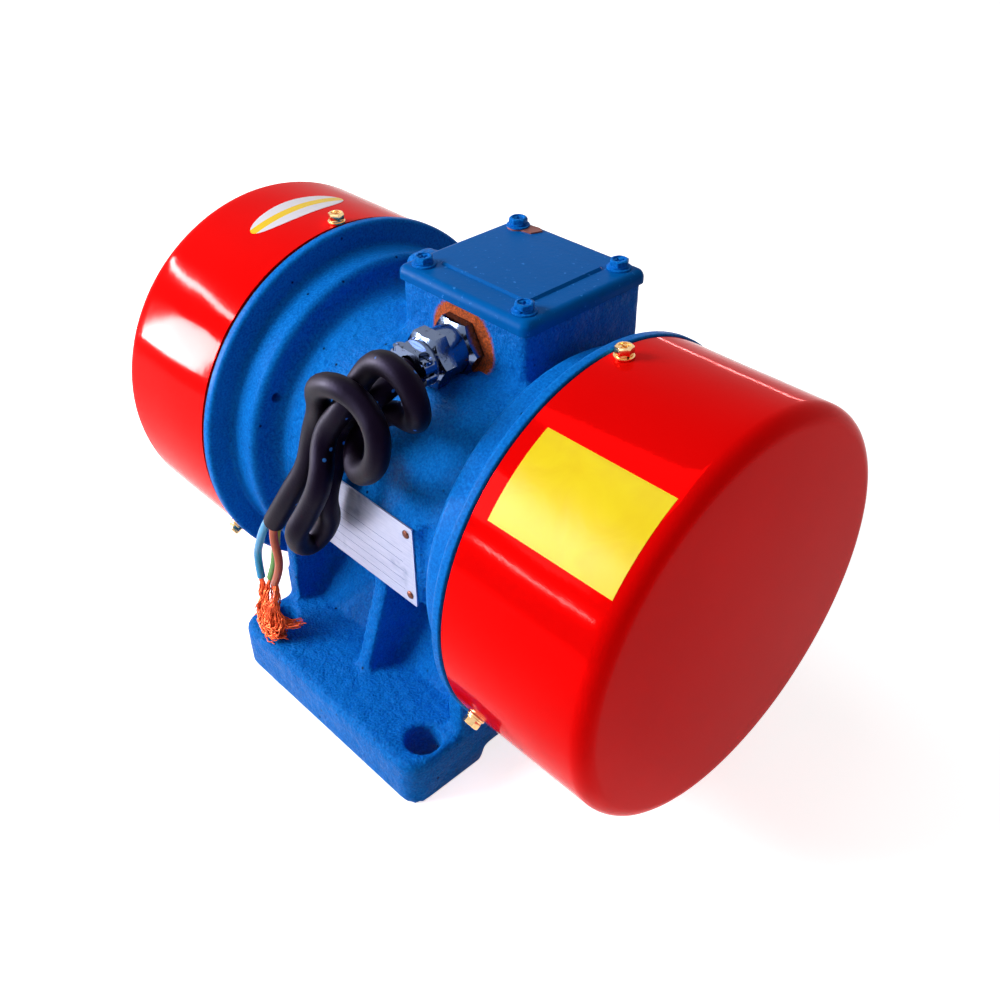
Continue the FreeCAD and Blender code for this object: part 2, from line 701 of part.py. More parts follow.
def along_gland(shape, y):
    """Stands a piece made along Z on the gland's axis, pointing out of the box, its foot at y."""
    return stand(shape, V(gland_x, y, gland_z), -Y)


def make_gland():
    bore = cable_radius + 0.15
    wide = gland_thread_radius - 2.0
    body = hexagon(gland_hex_flats, gland_hex_thickness)
    body = body.fuse(Part.makeCylinder(gland_barrel_radius, gland_barrel_length, V(0, 0, gland_hex_thickness)))
    thread = box_wall + gland_face_thickness + gland_nut_inner_thickness + 2
    body = body.fuse(Part.makeCylinder(gland_thread_radius, thread, V(0, 0, -thread)))
    body = body.cut(Part.makeCylinder(wide, 80, V(0, 0, -40)))
    body = body.cut(Part.makeCylinder(wide + 2.5, 6, V(0, 0, gland_hex_thickness + gland_barrel_length - 6)))
    save("gland_body", along_gland(body.removeSplitter(), gland_seat_y))
    inner_nut = hexagon(24.0, gland_nut_inner_thickness).cut(Part.makeCylinder(gland_thread_radius + 0.1, 20, V(0, 0, -5)))
    save("gland_inner_nut", along_gland(inner_nut, box_front_y + box_wall + gland_nut_inner_thickness + 0.1))
    nut_y = gland_seat_y - gland_hex_thickness - gland_barrel_length - 0.1
    nut = hexagon(gland_nut_flats, gland_nut_thickness)
    neck_end = gland_nut_thickness + 2.5
    nut = nut.fuse(Part.makeCylinder(gland_neck_radius + 2.5, 2.5, V(0, 0, gland_nut_thickness)))
    nut = nut.cut(Part.makeCylinder(gland_neck_radius, 40, V(0, 0, -5)))
    save("gland_compression_nut", along_gland(nut.removeSplitter(), nut_y))
    seal = Part.makeCylinder(wide + 2.3, 5.5, V(0, 0, 0.2)).cut(Part.makeCylinder(bore, 20, V(0, 0, -5)))
    save("gland_seal_ring", along_gland(seal, gland_seat_y - gland_hex_thickness - gland_barrel_length + 6))
    jaw_y = nut_y - neck_end - 0.1
    half = slab([(V(-gland_jaw_half_width, 0.6, 0), 1.5), (V(gland_jaw_half_width, 0.6, 0), 1.5),
                 (V(gland_jaw_half_width - 2, gland_jaw_half_height * 0.55, 0), 2.5), (V(7.5, gland_jaw_half_height, 0), 3.0),
                 (V(-7.5, gland_jaw_half_height, 0), 3.0), (V(-gland_jaw_half_width + 2, gland_jaw_half_height * 0.55, 0), 2.5)],
                Z * gland_jaw_thickness)
    half = half.cut(Part.makeCylinder(bore, 20, V(0, 0, -5)))
    reach = gland_jaw_half_width - 4.5
    for sx in (-1, 1):
        half = half.cut(Part.makeCylinder(gland_screw_radius + 0.1, 40, V(sx * reach, -20, gland_jaw_thickness / 2), Y))
    other = half.mirror(V(0, 0, 0), Y)
    for sx in (-1, 1):
        half = half.cut(Part.makeCylinder(gland_screw_radius * 1.9 + 0.4, 20, V(sx * reach, gland_screw_seat, gland_jaw_thickness / 2), Y))
    save("gland_clamp_jaws", [along_gland(half, jaw_y), along_gland(other, jaw_y)])
    screws = []
    for sx in (-1, 1):
        screw = Part.makeCylinder(gland_screw_radius, 11, V(0, 0, -10))
        screw = screw.fuse(Part.makeCylinder(gland_screw_radius * 1.9, 2.2))
        screw = screw.cut(Part.makeBox(20, 0.9, 2, V(-10, -0.45, 1.2)))
        placed = stand(screw, V(sx * reach, gland_screw_seat + 0.05, gland_jaw_thickness / 2), Y)
        screws.append(seat_on_gland(placed, jaw_y))
    save("gland_clamp_screws", screws)


def seat_on_gland(shape, y):
    """Like along_gland, for a piece that already has a placement of its own."""
    move = FreeCAD.Placement(V(gland_x, y, gland_z), FreeCAD.Rotation(Z, -Y))
    placed = shape.copy()
    placed.Placement = move.multiply(shape.Placement)
    return placed


def make_terminals():
    base = box_floor + board_lift
    board = slab(plan_rectangle(box_centre_x, box_centre_y, board_length, board_width, base, 3.0), Z * board_thickness)
    for dx in (-0.5, 0.5):
        x = box_centre_x + dx * stud_spacing
        board = board.fuse(block(x - 0.8, x + 0.8, box_centre_y - board_width / 2, box_centre_y + board_width / 2,
                                 base + board_thickness - 0.5, base + board_thickness + 5))
    studs, cuts = [], []
    for i in (-1, 0, 1):
        place = V(box_centre_x + i * stud_spacing, box_centre_y, base - 3)
        cuts.append(Part.makeCylinder(stud_radius + 0.1, 30, place))
        stud = Part.makeCylinder(stud_radius, stud_top - base + 3, place)
        nut = hexagon(8.0, 4.0)
        nut.translate(V(place.x, place.y, base + board_thickness + 0.1))
        studs.append(stud.fuse(nut).removeSplitter())
    save("terminal_board", board.cut(cuts).removeSplitter())
    save("terminal_studs", studs)


def make_stator():
    core = collar(stator_bore_radius, stator_inner_radius, -core_half, core_half)
    slots = []
    for i in range(stator_slots):
        slot = block(-core_half - 1, core_half + 1, -slot_width / 2, slot_width / 2,
                     axis_height + stator_inner_radius - 2, axis_height + stator_inner_radius + slot_depth)
        slot.rotate(V(0, 0, axis_height), X, 360 * i / stator_slots)
        slots.append(slot)
    save("stator_core", core.cut(slots))
    ends = []
    for _, side in SIDES:
        x0, x1 = core_half + 0.2, winding_end
        ring = turned([(x0, winding_inner_radius, 1), (x0, winding_outer_radius, 1), (x1, winding_outer_radius, 6),
                       (x1, winding_inner_radius, 6)])
        ends.append(mirrored(ring, side))
    save("stator_winding", ends)


def make_rotor():
    steps = [(bearing_inner_x, shaft_shoulder_radius, 0), (core_half + 12, shaft_shoulder_radius, 0), (core_half + 12, shaft_core_radius, 0)]
    half = [(shaft_end, shaft_weight_radius, 1.5), (fixed_weight_start, shaft_weight_radius, 0), (fixed_weight_start, bearing_bore_radius, 0.5),
            (bearing_inner_x, bearing_bore_radius, 0)] + steps
    other = [(-x, r, f) for x, r, f in reversed(half)]
    shaft = turned([(shaft_end, 0, 0)] + half + other + [(-shaft_end, 0, 0)])
    cuts = []
    for _, side in SIDES:
        cuts.append(mirrored(block(key_start, key_start + key_length, -key_width / 2, key_width / 2,
                                   axis_height + shaft_weight_radius - 4, axis_height + shaft_weight_radius + 5), side))
        cuts.append(mirrored(collar(shaft_weight_radius + 3, shaft_weight_radius - groove_depth, circlip_x, circlip_x + circlip_thickness + 0.1), side))
    save("shaft", shaft.cut(cuts))
    save("rotor_core", collar(rotor_radius, shaft_core_radius, -core_half, core_half))
    rings = []
    for _, side in SIDES:
        ring = collar(rotor_radius - 1, end_ring_inner_radius, core_half, core_half + end_ring_thickness)
        blades = []
        for i in range(fan_blades):
            blade = block(core_half + end_ring_thickness - 1, core_half + end_ring_thickness + 7, -1.5, 1.5,
                          axis_height + end_ring_inner_radius + 1, axis_height + rotor_radius - 2)
            blade.rotate(V(0, 0, axis_height), X, 360 * i / fan_blades)
            blades.append(blade)
        rings.append(mirrored(ring.fuse(blades).removeSplitter(), side))
    save("rotor_end_rings", rings)


def make_bearings():
    shield_bolts, cap_screws = [], []
    for name, side in SIDES:
        x0, x1 = bearing_inner_x, bearing_outer_x
        lip = x0 - shield_lip_thickness
        flange_back = shield_seat + 0.1
        shield = turned([(lip, shield_lip_radius, 0.5), (lip, shield_hub_radius - 2, 2), (flange_back, shield_hub_radius, 3),
                         (flange_back, shield_bore_radius, 0.5), (flange_back + shield_flange_thickness, shield_bore_radius, 1),
                         (flange_back + shield_flange_thickness, shield_hub_radius, 2), (x1 + 1, shield_hub_radius, 1),
                         (x1 + 1, bearing_outer_radius + running_gap, 0.3), (x0, bearing_outer_radius + running_gap, 0),
                         (x0, shield_lip_radius, 0.5)])
        holes = []
        for y, z in around(shield_bolt_circle, shield_bolt_count, 30):
            holes.append(Part.makeCylinder(shield_bolt_radius + seat_gap, 40, V(flange_back - 5, y, z), X))
            bolt = hex_bolt(shield_bolt_radius, 26, 10.0, 4.0)
            shield_bolts.append(mirrored(stand(bolt, V(flange_back + shield_flange_thickness + 0.1, y, z), X), side))
        for y, z in around(cap_screw_circle, cap_screw_count, 45):
            holes.append(Part.makeCylinder(cap_screw_radius + seat_gap, 14, V(x1 - 7, y, z), X))
            screw = Part.makeCylinder(cap_screw_radius, 10, V(0, 0, -10)).fuse(Part.makeCylinder(cap_screw_radius * 1.7, 2))
            cap_screws.append(mirrored(stand(screw, V(x1 + 1.2 + cap_thickness, y, z), X), side))
        save(f"bearing_shield_{name}", mirrored(shield.cut(holes), side))
        cap = collar(shield_hub_radius, spacer_radius + 1.0, x1 + 1.1, x1 + 1.1 + cap_thickness)
        cap = cap.fuse(collar(bearing_outer_radius - 0.2, outer_race_radius - 1, x1 + 0.3, x1 + 1.2))
        save(f"bearing_cap_{name}", mirrored(cap.cut(holes).removeSplitter(), side))
        outer = turned([(x0, bearing_outer_radius, 1), (x1, bearing_outer_radius, 1), (x1, outer_race_radius - 2.2, 0),
                        (bearing_mid_x + roller_length / 2 + roller_play, outer_race_radius - 2.2, 0),
                        (bearing_mid_x + roller_length / 2 + roller_play, outer_race_radius, 0),
                        (bearing_mid_x - roller_length / 2 - roller_play, outer_race_radius, 0),
                        (bearing_mid_x - roller_length / 2 - roller_play, outer_race_radius - 2.2, 0),
                        (x0, outer_race_radius - 2.2, 0)])
        save(f"bearing_outer_ring_{name}", mirrored(outer, side))
        save(f"bearing_inner_ring_{name}", mirrored(collar(inner_race_radius, bearing_bore_radius, x0, x1), side))
        cage = collar(pitch_radius + cage_thickness / 2, pitch_radius - cage_thickness / 2,
                      bearing_mid_x - cage_width / 2, bearing_mid_x + cage_width / 2)
        rollers, pockets = [], []
        for y, z in around(pitch_radius, roller_count, 0):
            pockets.append(Part.makeCylinder(roller_radius + roller_play, roller_length + 2 * roller_play,
                                             V(bearing_mid_x - roller_length / 2 - roller_play, y, z), X))
            rollers.append(mirrored(Part.makeCylinder(roller_radius, roller_length, V(bearing_mid_x - roller_length / 2, y, z), X), side))
        save(f"bearing_cage_{name}", mirrored(cage.cut(pockets), side))
        save(f"bearing_rollers_{name}", rollers)
    save("bearing_shield_bolts", shield_bolts)
    save("bearing_cap_screws", cap_screws)


def weight_blank(x0):
    """Half disc with a hub, hanging below the shaft."""
    x1 = x0 + weight_thickness
    disc = axle(weight_radius, x0, x1)
    disc = disc.common(block(x0 - 1, x1 + 1, -weight_radius - 1, weight_radius + 1, axis_height - weight_radius - 1, axis_height - 4))
    sharp = [e for e in disc.Edges if e.BoundBox.XLength > weight_thickness - 1e-3 and e.BoundBox.YLength < 1e-3]
    disc = disc.makeFillet(weight_corner, sharp)
    return disc.fuse(axle(weight_hub_radius, x0, x1))


def make_weights():
    spacers, keys, clips = [], [], []
    for name, side in SIDES:
        x0 = bearing_outer_x
        spacers.append(mirrored(collar(spacer_radius, bearing_bore_radius + 0.02, x0, fixed_weight_start), side))
        x0 = fixed_weight_start
        fixed = weight_blank(x0).cut(axle(shaft_weight_radius + 0.02, x0 - 1, x0 + weight_thickness + 1))
        fixed = fixed.cut(block(x0 - 1, x0 + weight_thickness + 1, -key_width / 2, key_width / 2,
                                axis_height, axis_height + shaft_weight_radius - 4 + key_height + 0.2))
        save(f"fixed_weight_{name}", mirrored(fixed.removeSplitter(), side))
        key = block(key_start, key_start + key_length, -key_width / 2, key_width / 2,
                    axis_height + shaft_weight_radius - 4, axis_height + shaft_weight_radius - 4 + key_height)
        keys.append(mirrored(key, side))
        x0 = adjustable_weight_start
        x1 = x0 + weight_thickness
        middle = x0 + weight_thickness / 2
        lugs = block(x0, x1, -clamp_lug_half, clamp_lug_half, axis_height, axis_height + clamp_lug_height)
        tops = [e for e in lugs.Edges if e.BoundBox.XLength > weight_thickness - 1e-3 and e.BoundBox.ZMin > axis_height + 1]
        lugs = lugs.makeFillet(5, tops)
        weight = weight_blank(x0).fuse(lugs).cut(axle(shaft_weight_radius + running_gap, x0 - 1, x1 + 1))
        weight = weight.cut(block(x0 - 1, x1 + 1, -clamp_slit / 2, clamp_slit / 2, axis_height, axis_height + clamp_lug_height + 1))
        bolt_z = axis_height + (weight_hub_radius + clamp_lug_height) / 2
        weight = weight.cut(Part.makeCylinder(clamp_bolt_radius + seat_gap, 60, V(middle, -30, bolt_z), Y))
        save(f"adjustable_weight_{name}", mirrored(weight.removeSplitter(), side))
        bolt = hex_bolt(clamp_bolt_radius, 2 * clamp_lug_half + 4, clamp_bolt_flats, 5.3)
        save(f"weight_clamp_bolt_{name}", mirrored(stand(bolt, V(middle, -clamp_lug_half - 0.1, bolt_z), -Y), side))
        clip = collar(circlip_radius, shaft_weight_radius - groove_depth + 0.02, circlip_x + 0.05, circlip_x + 0.05 + circlip_thickness)
        clip = clip.cut(block(circlip_x - 1, circlip_x + 5, -4, 4, axis_height + 5, axis_height + 25))
        clips.append(mirrored(clip, side))
    save("bearing_spacers", spacers)
    save("weight_keys", keys)
    save("shaft_circlips", clips)


def from_gland(point):
    """Place of a point of the cable's routes."""
    return V(*point) + V(gland_x, 0, gland_z)


def tube(points, radius):
    """Round tube along straight runs joined by tangent arcs, each as large as its two runs allow."""
    places = [from_gland(p) for p in points]
    edges, radii, here = [], [], places[0]
    for before, corner, after in zip(places, places[1:], places[2:]):
        back, ahead = before - corner, after - corner
        reach = 0.45 * min(back.Length, ahead.Length)
        half = back.getAngle(ahead) / 2
        bend = reach * math.tan(half)
        radii.append(bend)
        back.normalize()
        ahead.normalize()
        first, last = corner + back * reach, corner + ahead * reach
        middle = corner + (back + ahead).normalize() * (bend / math.sin(half) - bend)
        edges.append(Part.LineSegment(here, first).toShape())
        edges.append(Part.Arc(first, middle, last).toShape())
        here = last
    edges.append(Part.LineSegment(here, places[-1]).toShape())
    path = Part.Wire(edges)
    ring = Part.Wire(Part.makeCircle(radius, places[0], places[1] - places[0]))
    solid = path.makePipeShell([ring], True, False)
    print(f"  length {path.Length:.0f}, smallest bend {min(radii):.1f}, volume over section times length",
          f"{solid.Volume / (math.pi * radius ** 2 * path.Length):.4f}")
    print("  radii", " ".join(f"{r:.0f}" for r in radii))
    return solid


def make_cable():
    lead = tube(cable_route, cable_radius)
    mouth = from_gland(cable_route[0])
    held = Part.makeCylinder(cable_radius, cable_gland_y - mouth.y, mouth, Y)
    lead = lead.fuse(held).removeSplitter()
    save("power_cable", lead)
    strands = Part.makeSphere(strand_ball_radius, from_gland(strand_ball))
    cores = []
    for name, route in core_routes.items():
        core = tube(route, core_radius).cut(lead)
        save(name, core)
        cores.append(core)
        end = from_gland(route[-1])
        way = from_gland(strand_ball) - end
        strands = strands.fuse(Part.makeCylinder(strand_radius, way.Length, end, way))
    save("copper_strands", strands.cut(cores).removeSplitter())


os.makedirs("parts", exist_ok=True)
make_frame()
make_lid()
make_lid_bolts()
make_covers()
make_nameplate()
make_gland()
make_terminals()
make_stator()
make_rotor()
make_bearings()
make_weights()
make_cable()
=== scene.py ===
"""The looks of a foot-mounted vibration motor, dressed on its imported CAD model."""
import math

import bmesh
import bpy
from mathutils import Matrix, Vector, noise


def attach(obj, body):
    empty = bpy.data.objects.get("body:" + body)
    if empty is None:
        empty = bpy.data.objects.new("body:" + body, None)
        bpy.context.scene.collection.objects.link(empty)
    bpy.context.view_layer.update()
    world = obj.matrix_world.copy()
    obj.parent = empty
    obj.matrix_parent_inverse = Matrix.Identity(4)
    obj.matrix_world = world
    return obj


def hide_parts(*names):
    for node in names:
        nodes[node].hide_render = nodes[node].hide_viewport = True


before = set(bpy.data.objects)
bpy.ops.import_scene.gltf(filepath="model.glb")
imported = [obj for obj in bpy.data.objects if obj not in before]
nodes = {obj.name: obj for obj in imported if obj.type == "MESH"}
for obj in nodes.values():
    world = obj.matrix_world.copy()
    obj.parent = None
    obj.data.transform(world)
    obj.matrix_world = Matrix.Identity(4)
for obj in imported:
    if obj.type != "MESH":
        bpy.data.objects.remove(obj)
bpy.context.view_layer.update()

mm = 0.001

# The frame is one sand casting in grey iron: barrel, stepped end drums, flanges, foot, ribs and box.
# It is fettled, primed and sprayed with blue enamel. The sand's grain shows through the paint on the
# rough faces, the turned drums and flanges are smoother, and bare iron rusts round the cable entry.
shaft_height = 133.6 * mm
barrel_radius = 81.0 * mm
barrel_half = 72.0 * mm
barrel_fillet = 7.0 * mm
drum_radius = 97.0 * mm
drum_round = 5.0 * mm
flange_radius = 111.0 * mm
flange_face = 100.0 * mm
flange_thickness = 6.2 * mm
flange_back_round = 2.5 * mm
spigot_radius = 107.7 * mm
spigot_end = 122.0 * mm
spigot_bore = 97.7 * mm
drum_segments = 160
grease_hole_radius = 2.8 * mm
grease_hole_depth = 9.0 * mm
grease_hole_angle = math.radians(61.0)
gland_x = 18.5 * mm
gland_z = 223.0 * mm
gland_wall_y = -19.2 * mm
rust_inner, rust_outer = 23.5 * mm, 25.5 * mm
sand_grain = 1.3 * mm
casting_voxel = 2.0 * mm
sand_wave_size, sand_wave_depth = 11 * mm, 0.22 * mm
machined_base = 3 * mm


def linear(code):
    """An sRGB hex colour as the linear RGBA that a shader takes."""
    parts = [int(code[i:i + 2], 16) / 255 for i in (1, 3, 5)]
    return tuple(p / 12.92 if p <= 0.04045 else ((p + 0.055) / 1.055) ** 2.4 for p in parts) + (1.0,)


def feed(made, inputs):
    """Gives a node's inputs values, or links from outputs; a node stands for the first output in use."""
    for name, value in inputs.items():
        for source in value if isinstance(value, list) else [value]:
            if isinstance(source, bpy.types.Node):
                source = next(output for output in source.outputs if output.enabled)
            if isinstance(source, bpy.types.NodeSocket):
                made.id_data.links.new(source, made.inputs[name])
            else:
                made.inputs[name].default_value = source


def add(tree, kind, inputs=None, **settings):
    """Adds a node with its settings, and feeds its inputs; a shader node goes by its short name."""
    family = "" if kind.startswith(("Geometry", "Function", "NodeGroup")) else "ShaderNode"
    made = tree.nodes.new(family + kind)
    for name, value in settings.items():
        setattr(made, name, value)
    feed(made, inputs or {})
    return made


def finish_named(name, **values):
    """A new material and its shader, with the shader's plain values set on its own sockets."""
    material = bpy.data.materials.new(name)
    material.use_nodes = True
    shader = material.node_tree.nodes["Principled BSDF"]
    for socket, value in values.items():
        shader.inputs[socket.replace("_", " ")].default_value = value
    return material, material.node_tree, shader


def cover_with(material, *names):
    """Gives CAD nodes a finish."""
    for name in names:
        nodes[name].data.materials.clear()
        nodes[name].data.materials.append(material)


def rounded(corners, steps=6):
    """The (x, radius) points of a profile of (x, radius, rounding) corners, each rounded by an arc."""
    points = []
    for i, (x, r, rounding) in enumerate(corners):
        here = Vector((x, r, 0))
        if rounding == 0:
            points.append((x, r))
            continue
        back = (Vector((*corners[i - 1][:2], 0)) - here).normalized()
        ahead = (Vector((*corners[(i + 1) % len(corners)][:2], 0)) - here).normalized()
        half = back.angle(ahead) / 2
        reach = rounding / math.tan(half)
        centre = here + (back + ahead).normalized() * (rounding / math.sin(half))
        start, end = here + back * reach - centre, here + ahead * reach - centre
        for k in range(steps + 1):
            p = centre + start.lerp(end, k / steps).normalized() * rounding
            points.append((p.x, p.y))
    return points


def in_scene(name, data):
    """A new object with this data, in the scene."""
    made = bpy.data.objects.new(name, data)
    bpy.context.scene.collection.objects.link(made)
    return made


def piece(name, mesh, material, body="frame", stands_for=()):
    """Puts a finished mesh in the scene as a piece of the object, on the CAD body that carries it."""
    made = in_scene(name, mesh)
    if material is not None:
        mesh.materials.clear()
        mesh.materials.append(material)
    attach(made, body)
    if stands_for:
        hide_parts(*stands_for)
    return made


def turned(name, profile, segments, side=1, closed=True):
    """Mesh turned about the shaft axis from an (x, radius) profile; side -1 mirrors it to the left end."""
    bm = bmesh.new()
    rings = []
    for i in range(segments):
        t = 2 * math.pi * i / segments
        rings.append([bm.verts.new((side * x, r * math.cos(t), shaft_height + r * math.sin(t)))
                      for x, r in profile])
    last = len(profile) if closed else len(profile) - 1
    for i in range(segments):
        a, b = rings[i], rings[(i + 1) % segments]
        for j in range(last):
            k = (j + 1) % len(profile)
            bm.faces.new((a[j], a[k], b[k], b[j]))
    bmesh.ops.remove_doubles(bm, verts=bm.verts, dist=1e-6)
    bmesh.ops.recalc_face_normals(bm, faces=bm.faces)
    mesh = bpy.data.meshes.new(name)
    bm.to_mesh(mesh)
    bm.free()
    mesh.shade_smooth()
    return mesh


def sharpen(mesh, degrees=35):
    """Keeps edges that turn by more than this crisp while the rest shades smooth."""
    mesh.shade_smooth()
    mesh.set_sharp_from_angle(angle=math.radians(degrees))


def plain_mesh(made):
    """The object's mesh with its modifiers applied, as a mesh of its own."""
    graph = bpy.context.evaluated_depsgraph_get()
    mesh = bpy.data.meshes.new_from_object(made.evaluated_get(graph))
    bpy.data.objects.remove(made)
    return mesh


def blue_enamel(name, grain_depth, rusting=False):
    """Air-dried blue enamel, semi-gloss, over iron whose sand grain stands grain_depth metres deep."""
    material, tree, shader = finish_named(name, IOR=1.5, Specular_IOR_Level=0.025,
        Specular_Tint=linear("#4F86D8"))
    place = add(tree, "TexCoord").outputs["Object"]
    patches = add(tree, "TexNoise", {"Vector": place, "Scale": 28.0, "Detail": 5.0})
    body = add(tree, "Mix", {0: patches, 6: linear("#004EA6"), 7: linear("#086CCA")}, data_type="RGBA")
    grain = add(tree, "TexNoise", {"Vector": place, "Scale": 1 / sand_grain, "Detail": 3.0,
        "Roughness": 0.6})
    lumps = add(tree, "TexNoise", {"Vector": place, "Scale": 0.2 / sand_grain, "Detail": 2.0})
    # Small dark spots are painted shade in pits; the pits have no relief of their own.
    pit_cells = add(tree, "TexVoronoi", {"Vector": place, "Scale": 70.0}, feature="F1")
    painted_pit_shade = add(tree, "MapRange", {"Value": pit_cells, "From Min": 0.03, "From Max": 0.08, "To Min": 1.0,
        "To Max": 0.0})
    # The raised tops of the sand grain are painted a lighter, lit blue: painted highlight on the grain.
    painted_grain_highlight = add(tree, "MapRange", {"Value": grain, "From Min": 0.35, "From Max": 0.75})
    with_grain_highlight = add(tree, "Mix", {0: painted_grain_highlight, 6: body, 7: linear("#1583DE")}, data_type="RGBA")
    with_pit_shade = add(tree, "Mix", {0: painted_pit_shade, 6: with_grain_highlight, 7: linear("#04193C")}, data_type="RGBA")
    gloss = add(tree, "MapRange", {"Value": lumps, "From Min": 0.3, "From Max": 0.7, "To Min": 0.30,
        "To Max": 0.44})
    colour, roughness = with_pit_shade, gloss
    if rusting:
        # The face round the cable entry was spot-turned, and its bare iron has rusted.
        parts = add(tree, "SeparateXYZ", {0: place}).outputs
        across = add(tree, "CombineXYZ", {"X": parts["X"], "Z": parts["Z"]})
        reach = add(tree, "VectorMath", {0: across, 1: (gland_x, 0, gland_z)}, operation="DISTANCE")
        ragged = add(tree, "Math", {0: grain, 1: 4 * mm, 2: reach}, operation="MULTIPLY_ADD")
        disc = add(tree, "MapRange", {"Value": ragged, "From Min": rust_inner, "From Max": rust_outer,
            "To Min": 1.0, "To Max": 0.0})
        near = add(tree, "Math", {0: parts["Y"], 1: gland_wall_y, 2: 2.5 * mm}, operation="COMPARE")
        bare = add(tree, "Math", {0: disc, 1: near}, operation="MULTIPLY")
        bloom = add(tree, "TexNoise", {"Vector": place, "Scale": 1.3 / sand_grain, "Detail": 6.0,
            "Roughness": 0.75})
        bloom_spread = add(tree, "MapRange", {"Value": bloom, "From Min": 0.38, "From Max": 0.62})
        rust = add(tree, "Mix", {0: bloom_spread, 6: linear("#7A4630"), 7: linear("#D9622F")},
            data_type="RGBA")
        colour = add(tree, "Mix", {0: bare, 6: colour, 7: rust}, data_type="RGBA")
        roughness = add(tree, "Mix", {0: bare, 2: roughness, 3: 0.85})
    coarse = add(tree, "Bump", {"Height": lumps, "Distance": 2.5 * grain_depth})
    fine = add(tree, "Bump", {"Height": grain, "Distance": grain_depth, "Normal": coarse})
    feed(shader, {"Base Color": colour, "Roughness": roughness, "Normal": fine})
    return material


rough_iron = blue_enamel("blue_enamel_on_sand_cast_iron", 0.85 * mm, rusting=True)
turned_iron = blue_enamel("blue_enamel_on_turned_iron", 0.10 * mm)

bore_back_x = 78 * mm
bore_back_radius = 74 * mm
web_radius = spigot_bore - 12 * mm
drum_start = 60 * mm
drum_profile = rounded([
    (drum_start, barrel_radius - 0.5 * mm, 0), (64 * mm, barrel_radius, 0),
    (barrel_half, barrel_radius, barrel_fillet), (barrel_half, drum_radius, drum_round),
    (flange_face - flange_thickness, drum_radius, 2.0 * mm),
    (flange_face - flange_thickness, flange_radius, flange_back_round),
    (flange_face, flange_radius, 1.0 * mm), (flange_face, spigot_radius, 0),
    (spigot_end, spigot_radius, 1.0 * mm), (spigot_end, spigot_bore, 1.0 * mm),
    (flange_face, spigot_bore, 0), (flange_face, web_radius, 0), (bore_back_x, web_radius, 0),
    (bore_back_x, bore_back_radius, 0), (drum_start, bore_back_radius, 0)])


def drum_surface(x):
    """Radius of the turned drum's skin at a distance x from the middle of the motor."""
    if x >= barrel_half:
        return drum_radius
    into = max(0.0, x - (barrel_half - barrel_fillet))
    return barrel_radius + barrel_fillet - math.sqrt(barrel_fillet ** 2 - into ** 2)


grease_drills = bmesh.new()
hole_reach = (barrel_radius + drum_radius) / 2 - 2 * mm
for side in (-1, 1):
    mouth = Vector((side * barrel_half, -hole_reach * math.sin(grease_hole_angle),
                    shaft_height + hole_reach * math.cos(grease_hole_angle)))
    place = Matrix.Translation(mouth) @ Matrix.Rotation(math.pi / 2, 4, "Y")
    bmesh.ops.create_cone(grease_drills, cap_ends=True, segments=28, radius1=grease_hole_radius,
        radius2=grease_hole_radius, depth=2 * grease_hole_depth, matrix=place)
drill_mesh = bpy.data.meshes.new("grease_drills")
grease_drills.to_mesh(drill_mesh)
grease_drills.free()
drill = in_scene("grease_drills", drill_mesh)


def drilled(made):
    """Adds the modifier that drills the grease holes."""
    holes = made.modifiers.new("grease holes", "BOOLEAN")
    holes.operation, holes.solver, holes.object = "DIFFERENCE", "MANIFOLD", drill


# The casting's skin is cut off inside the drums and tucked under their turned skin where the two meet.
cut_x = 92 * mm
skin_gap = 0.1 * mm
tuck_start, tuck_run = 62 * mm, 3 * mm
tuck_depth, tuck_margin = 0.8 * mm, 0.25 * mm
bm = bmesh.new()
bm.from_mesh(nodes["frame_casting"].data)
bmesh.ops.remove_doubles(bm, verts=bm.verts, dist=1e-6)
for side in (-1, 1):
    bmesh.ops.bisect_plane(bm, geom=bm.verts[:] + bm.edges[:] + bm.faces[:], plane_co=(side * cut_x, 0, 0),
                           plane_no=(side, 0, 0), clear_outer=True)
step_x = barrel_half + 0.5 * mm
plug_end = [(cut_x, 0), (cut_x, drum_radius - skin_gap), (step_x, drum_radius - skin_gap),
            (step_x, barrel_radius - skin_gap)]
plug = turned("plug", plug_end + [(-x, r) for x, r in reversed(plug_end)], 96, closed=False)
bm.from_mesh(plug)
trimmed = bpy.data.meshes.new("casting")
bm.to_mesh(trimmed)
bm.free()
casting = in_scene("casting", trimmed)
remesh = casting.modifiers.new("remesh", "REMESH")
remesh.mode, remesh.voxel_size, remesh.use_smooth_shade = "VOXEL", casting_voxel, True
soften = casting.modifiers.new("soften", "SMOOTH")
soften.factor, soften.iterations = 0.5, 3
drilled(casting)
cast_mesh = plain_mesh(casting)
outward = [v.normal.copy() for v in cast_mesh.vertices]
for v, way in zip(cast_mesh.vertices, outward):
    x = abs(v.co.x)
    radius = math.hypot(v.co.y, v.co.z - shaft_height)
    tuck = wave = 0.0
    if x > tuck_start and bore_back_radius < radius < drum_surface(x) + tuck_margin:
        tuck = min(1.0, (x - tuck_start) / tuck_run) * tuck_depth
    if v.co.z > machined_base:
        wave = noise.fractal(v.co / sand_wave_size, 0.8, 2.0, 3) * sand_wave_depth
    v.co += way * (wave - tuck)
piece("frame_casting_skin", cast_mesh, rough_iron, stands_for=["frame_casting"])

for side, name in ((-1, "left"), (1, "right")):
    drum = in_scene("drum", turned("drum_" + name, drum_profile, drum_segments, side))
    drilled(drum)
    drum_mesh = plain_mesh(drum)
    sharpen(drum_mesh, 50)
    piece("casting_drum_" + name, drum_mesh, turned_iron)
bpy.data.objects.remove(drill)

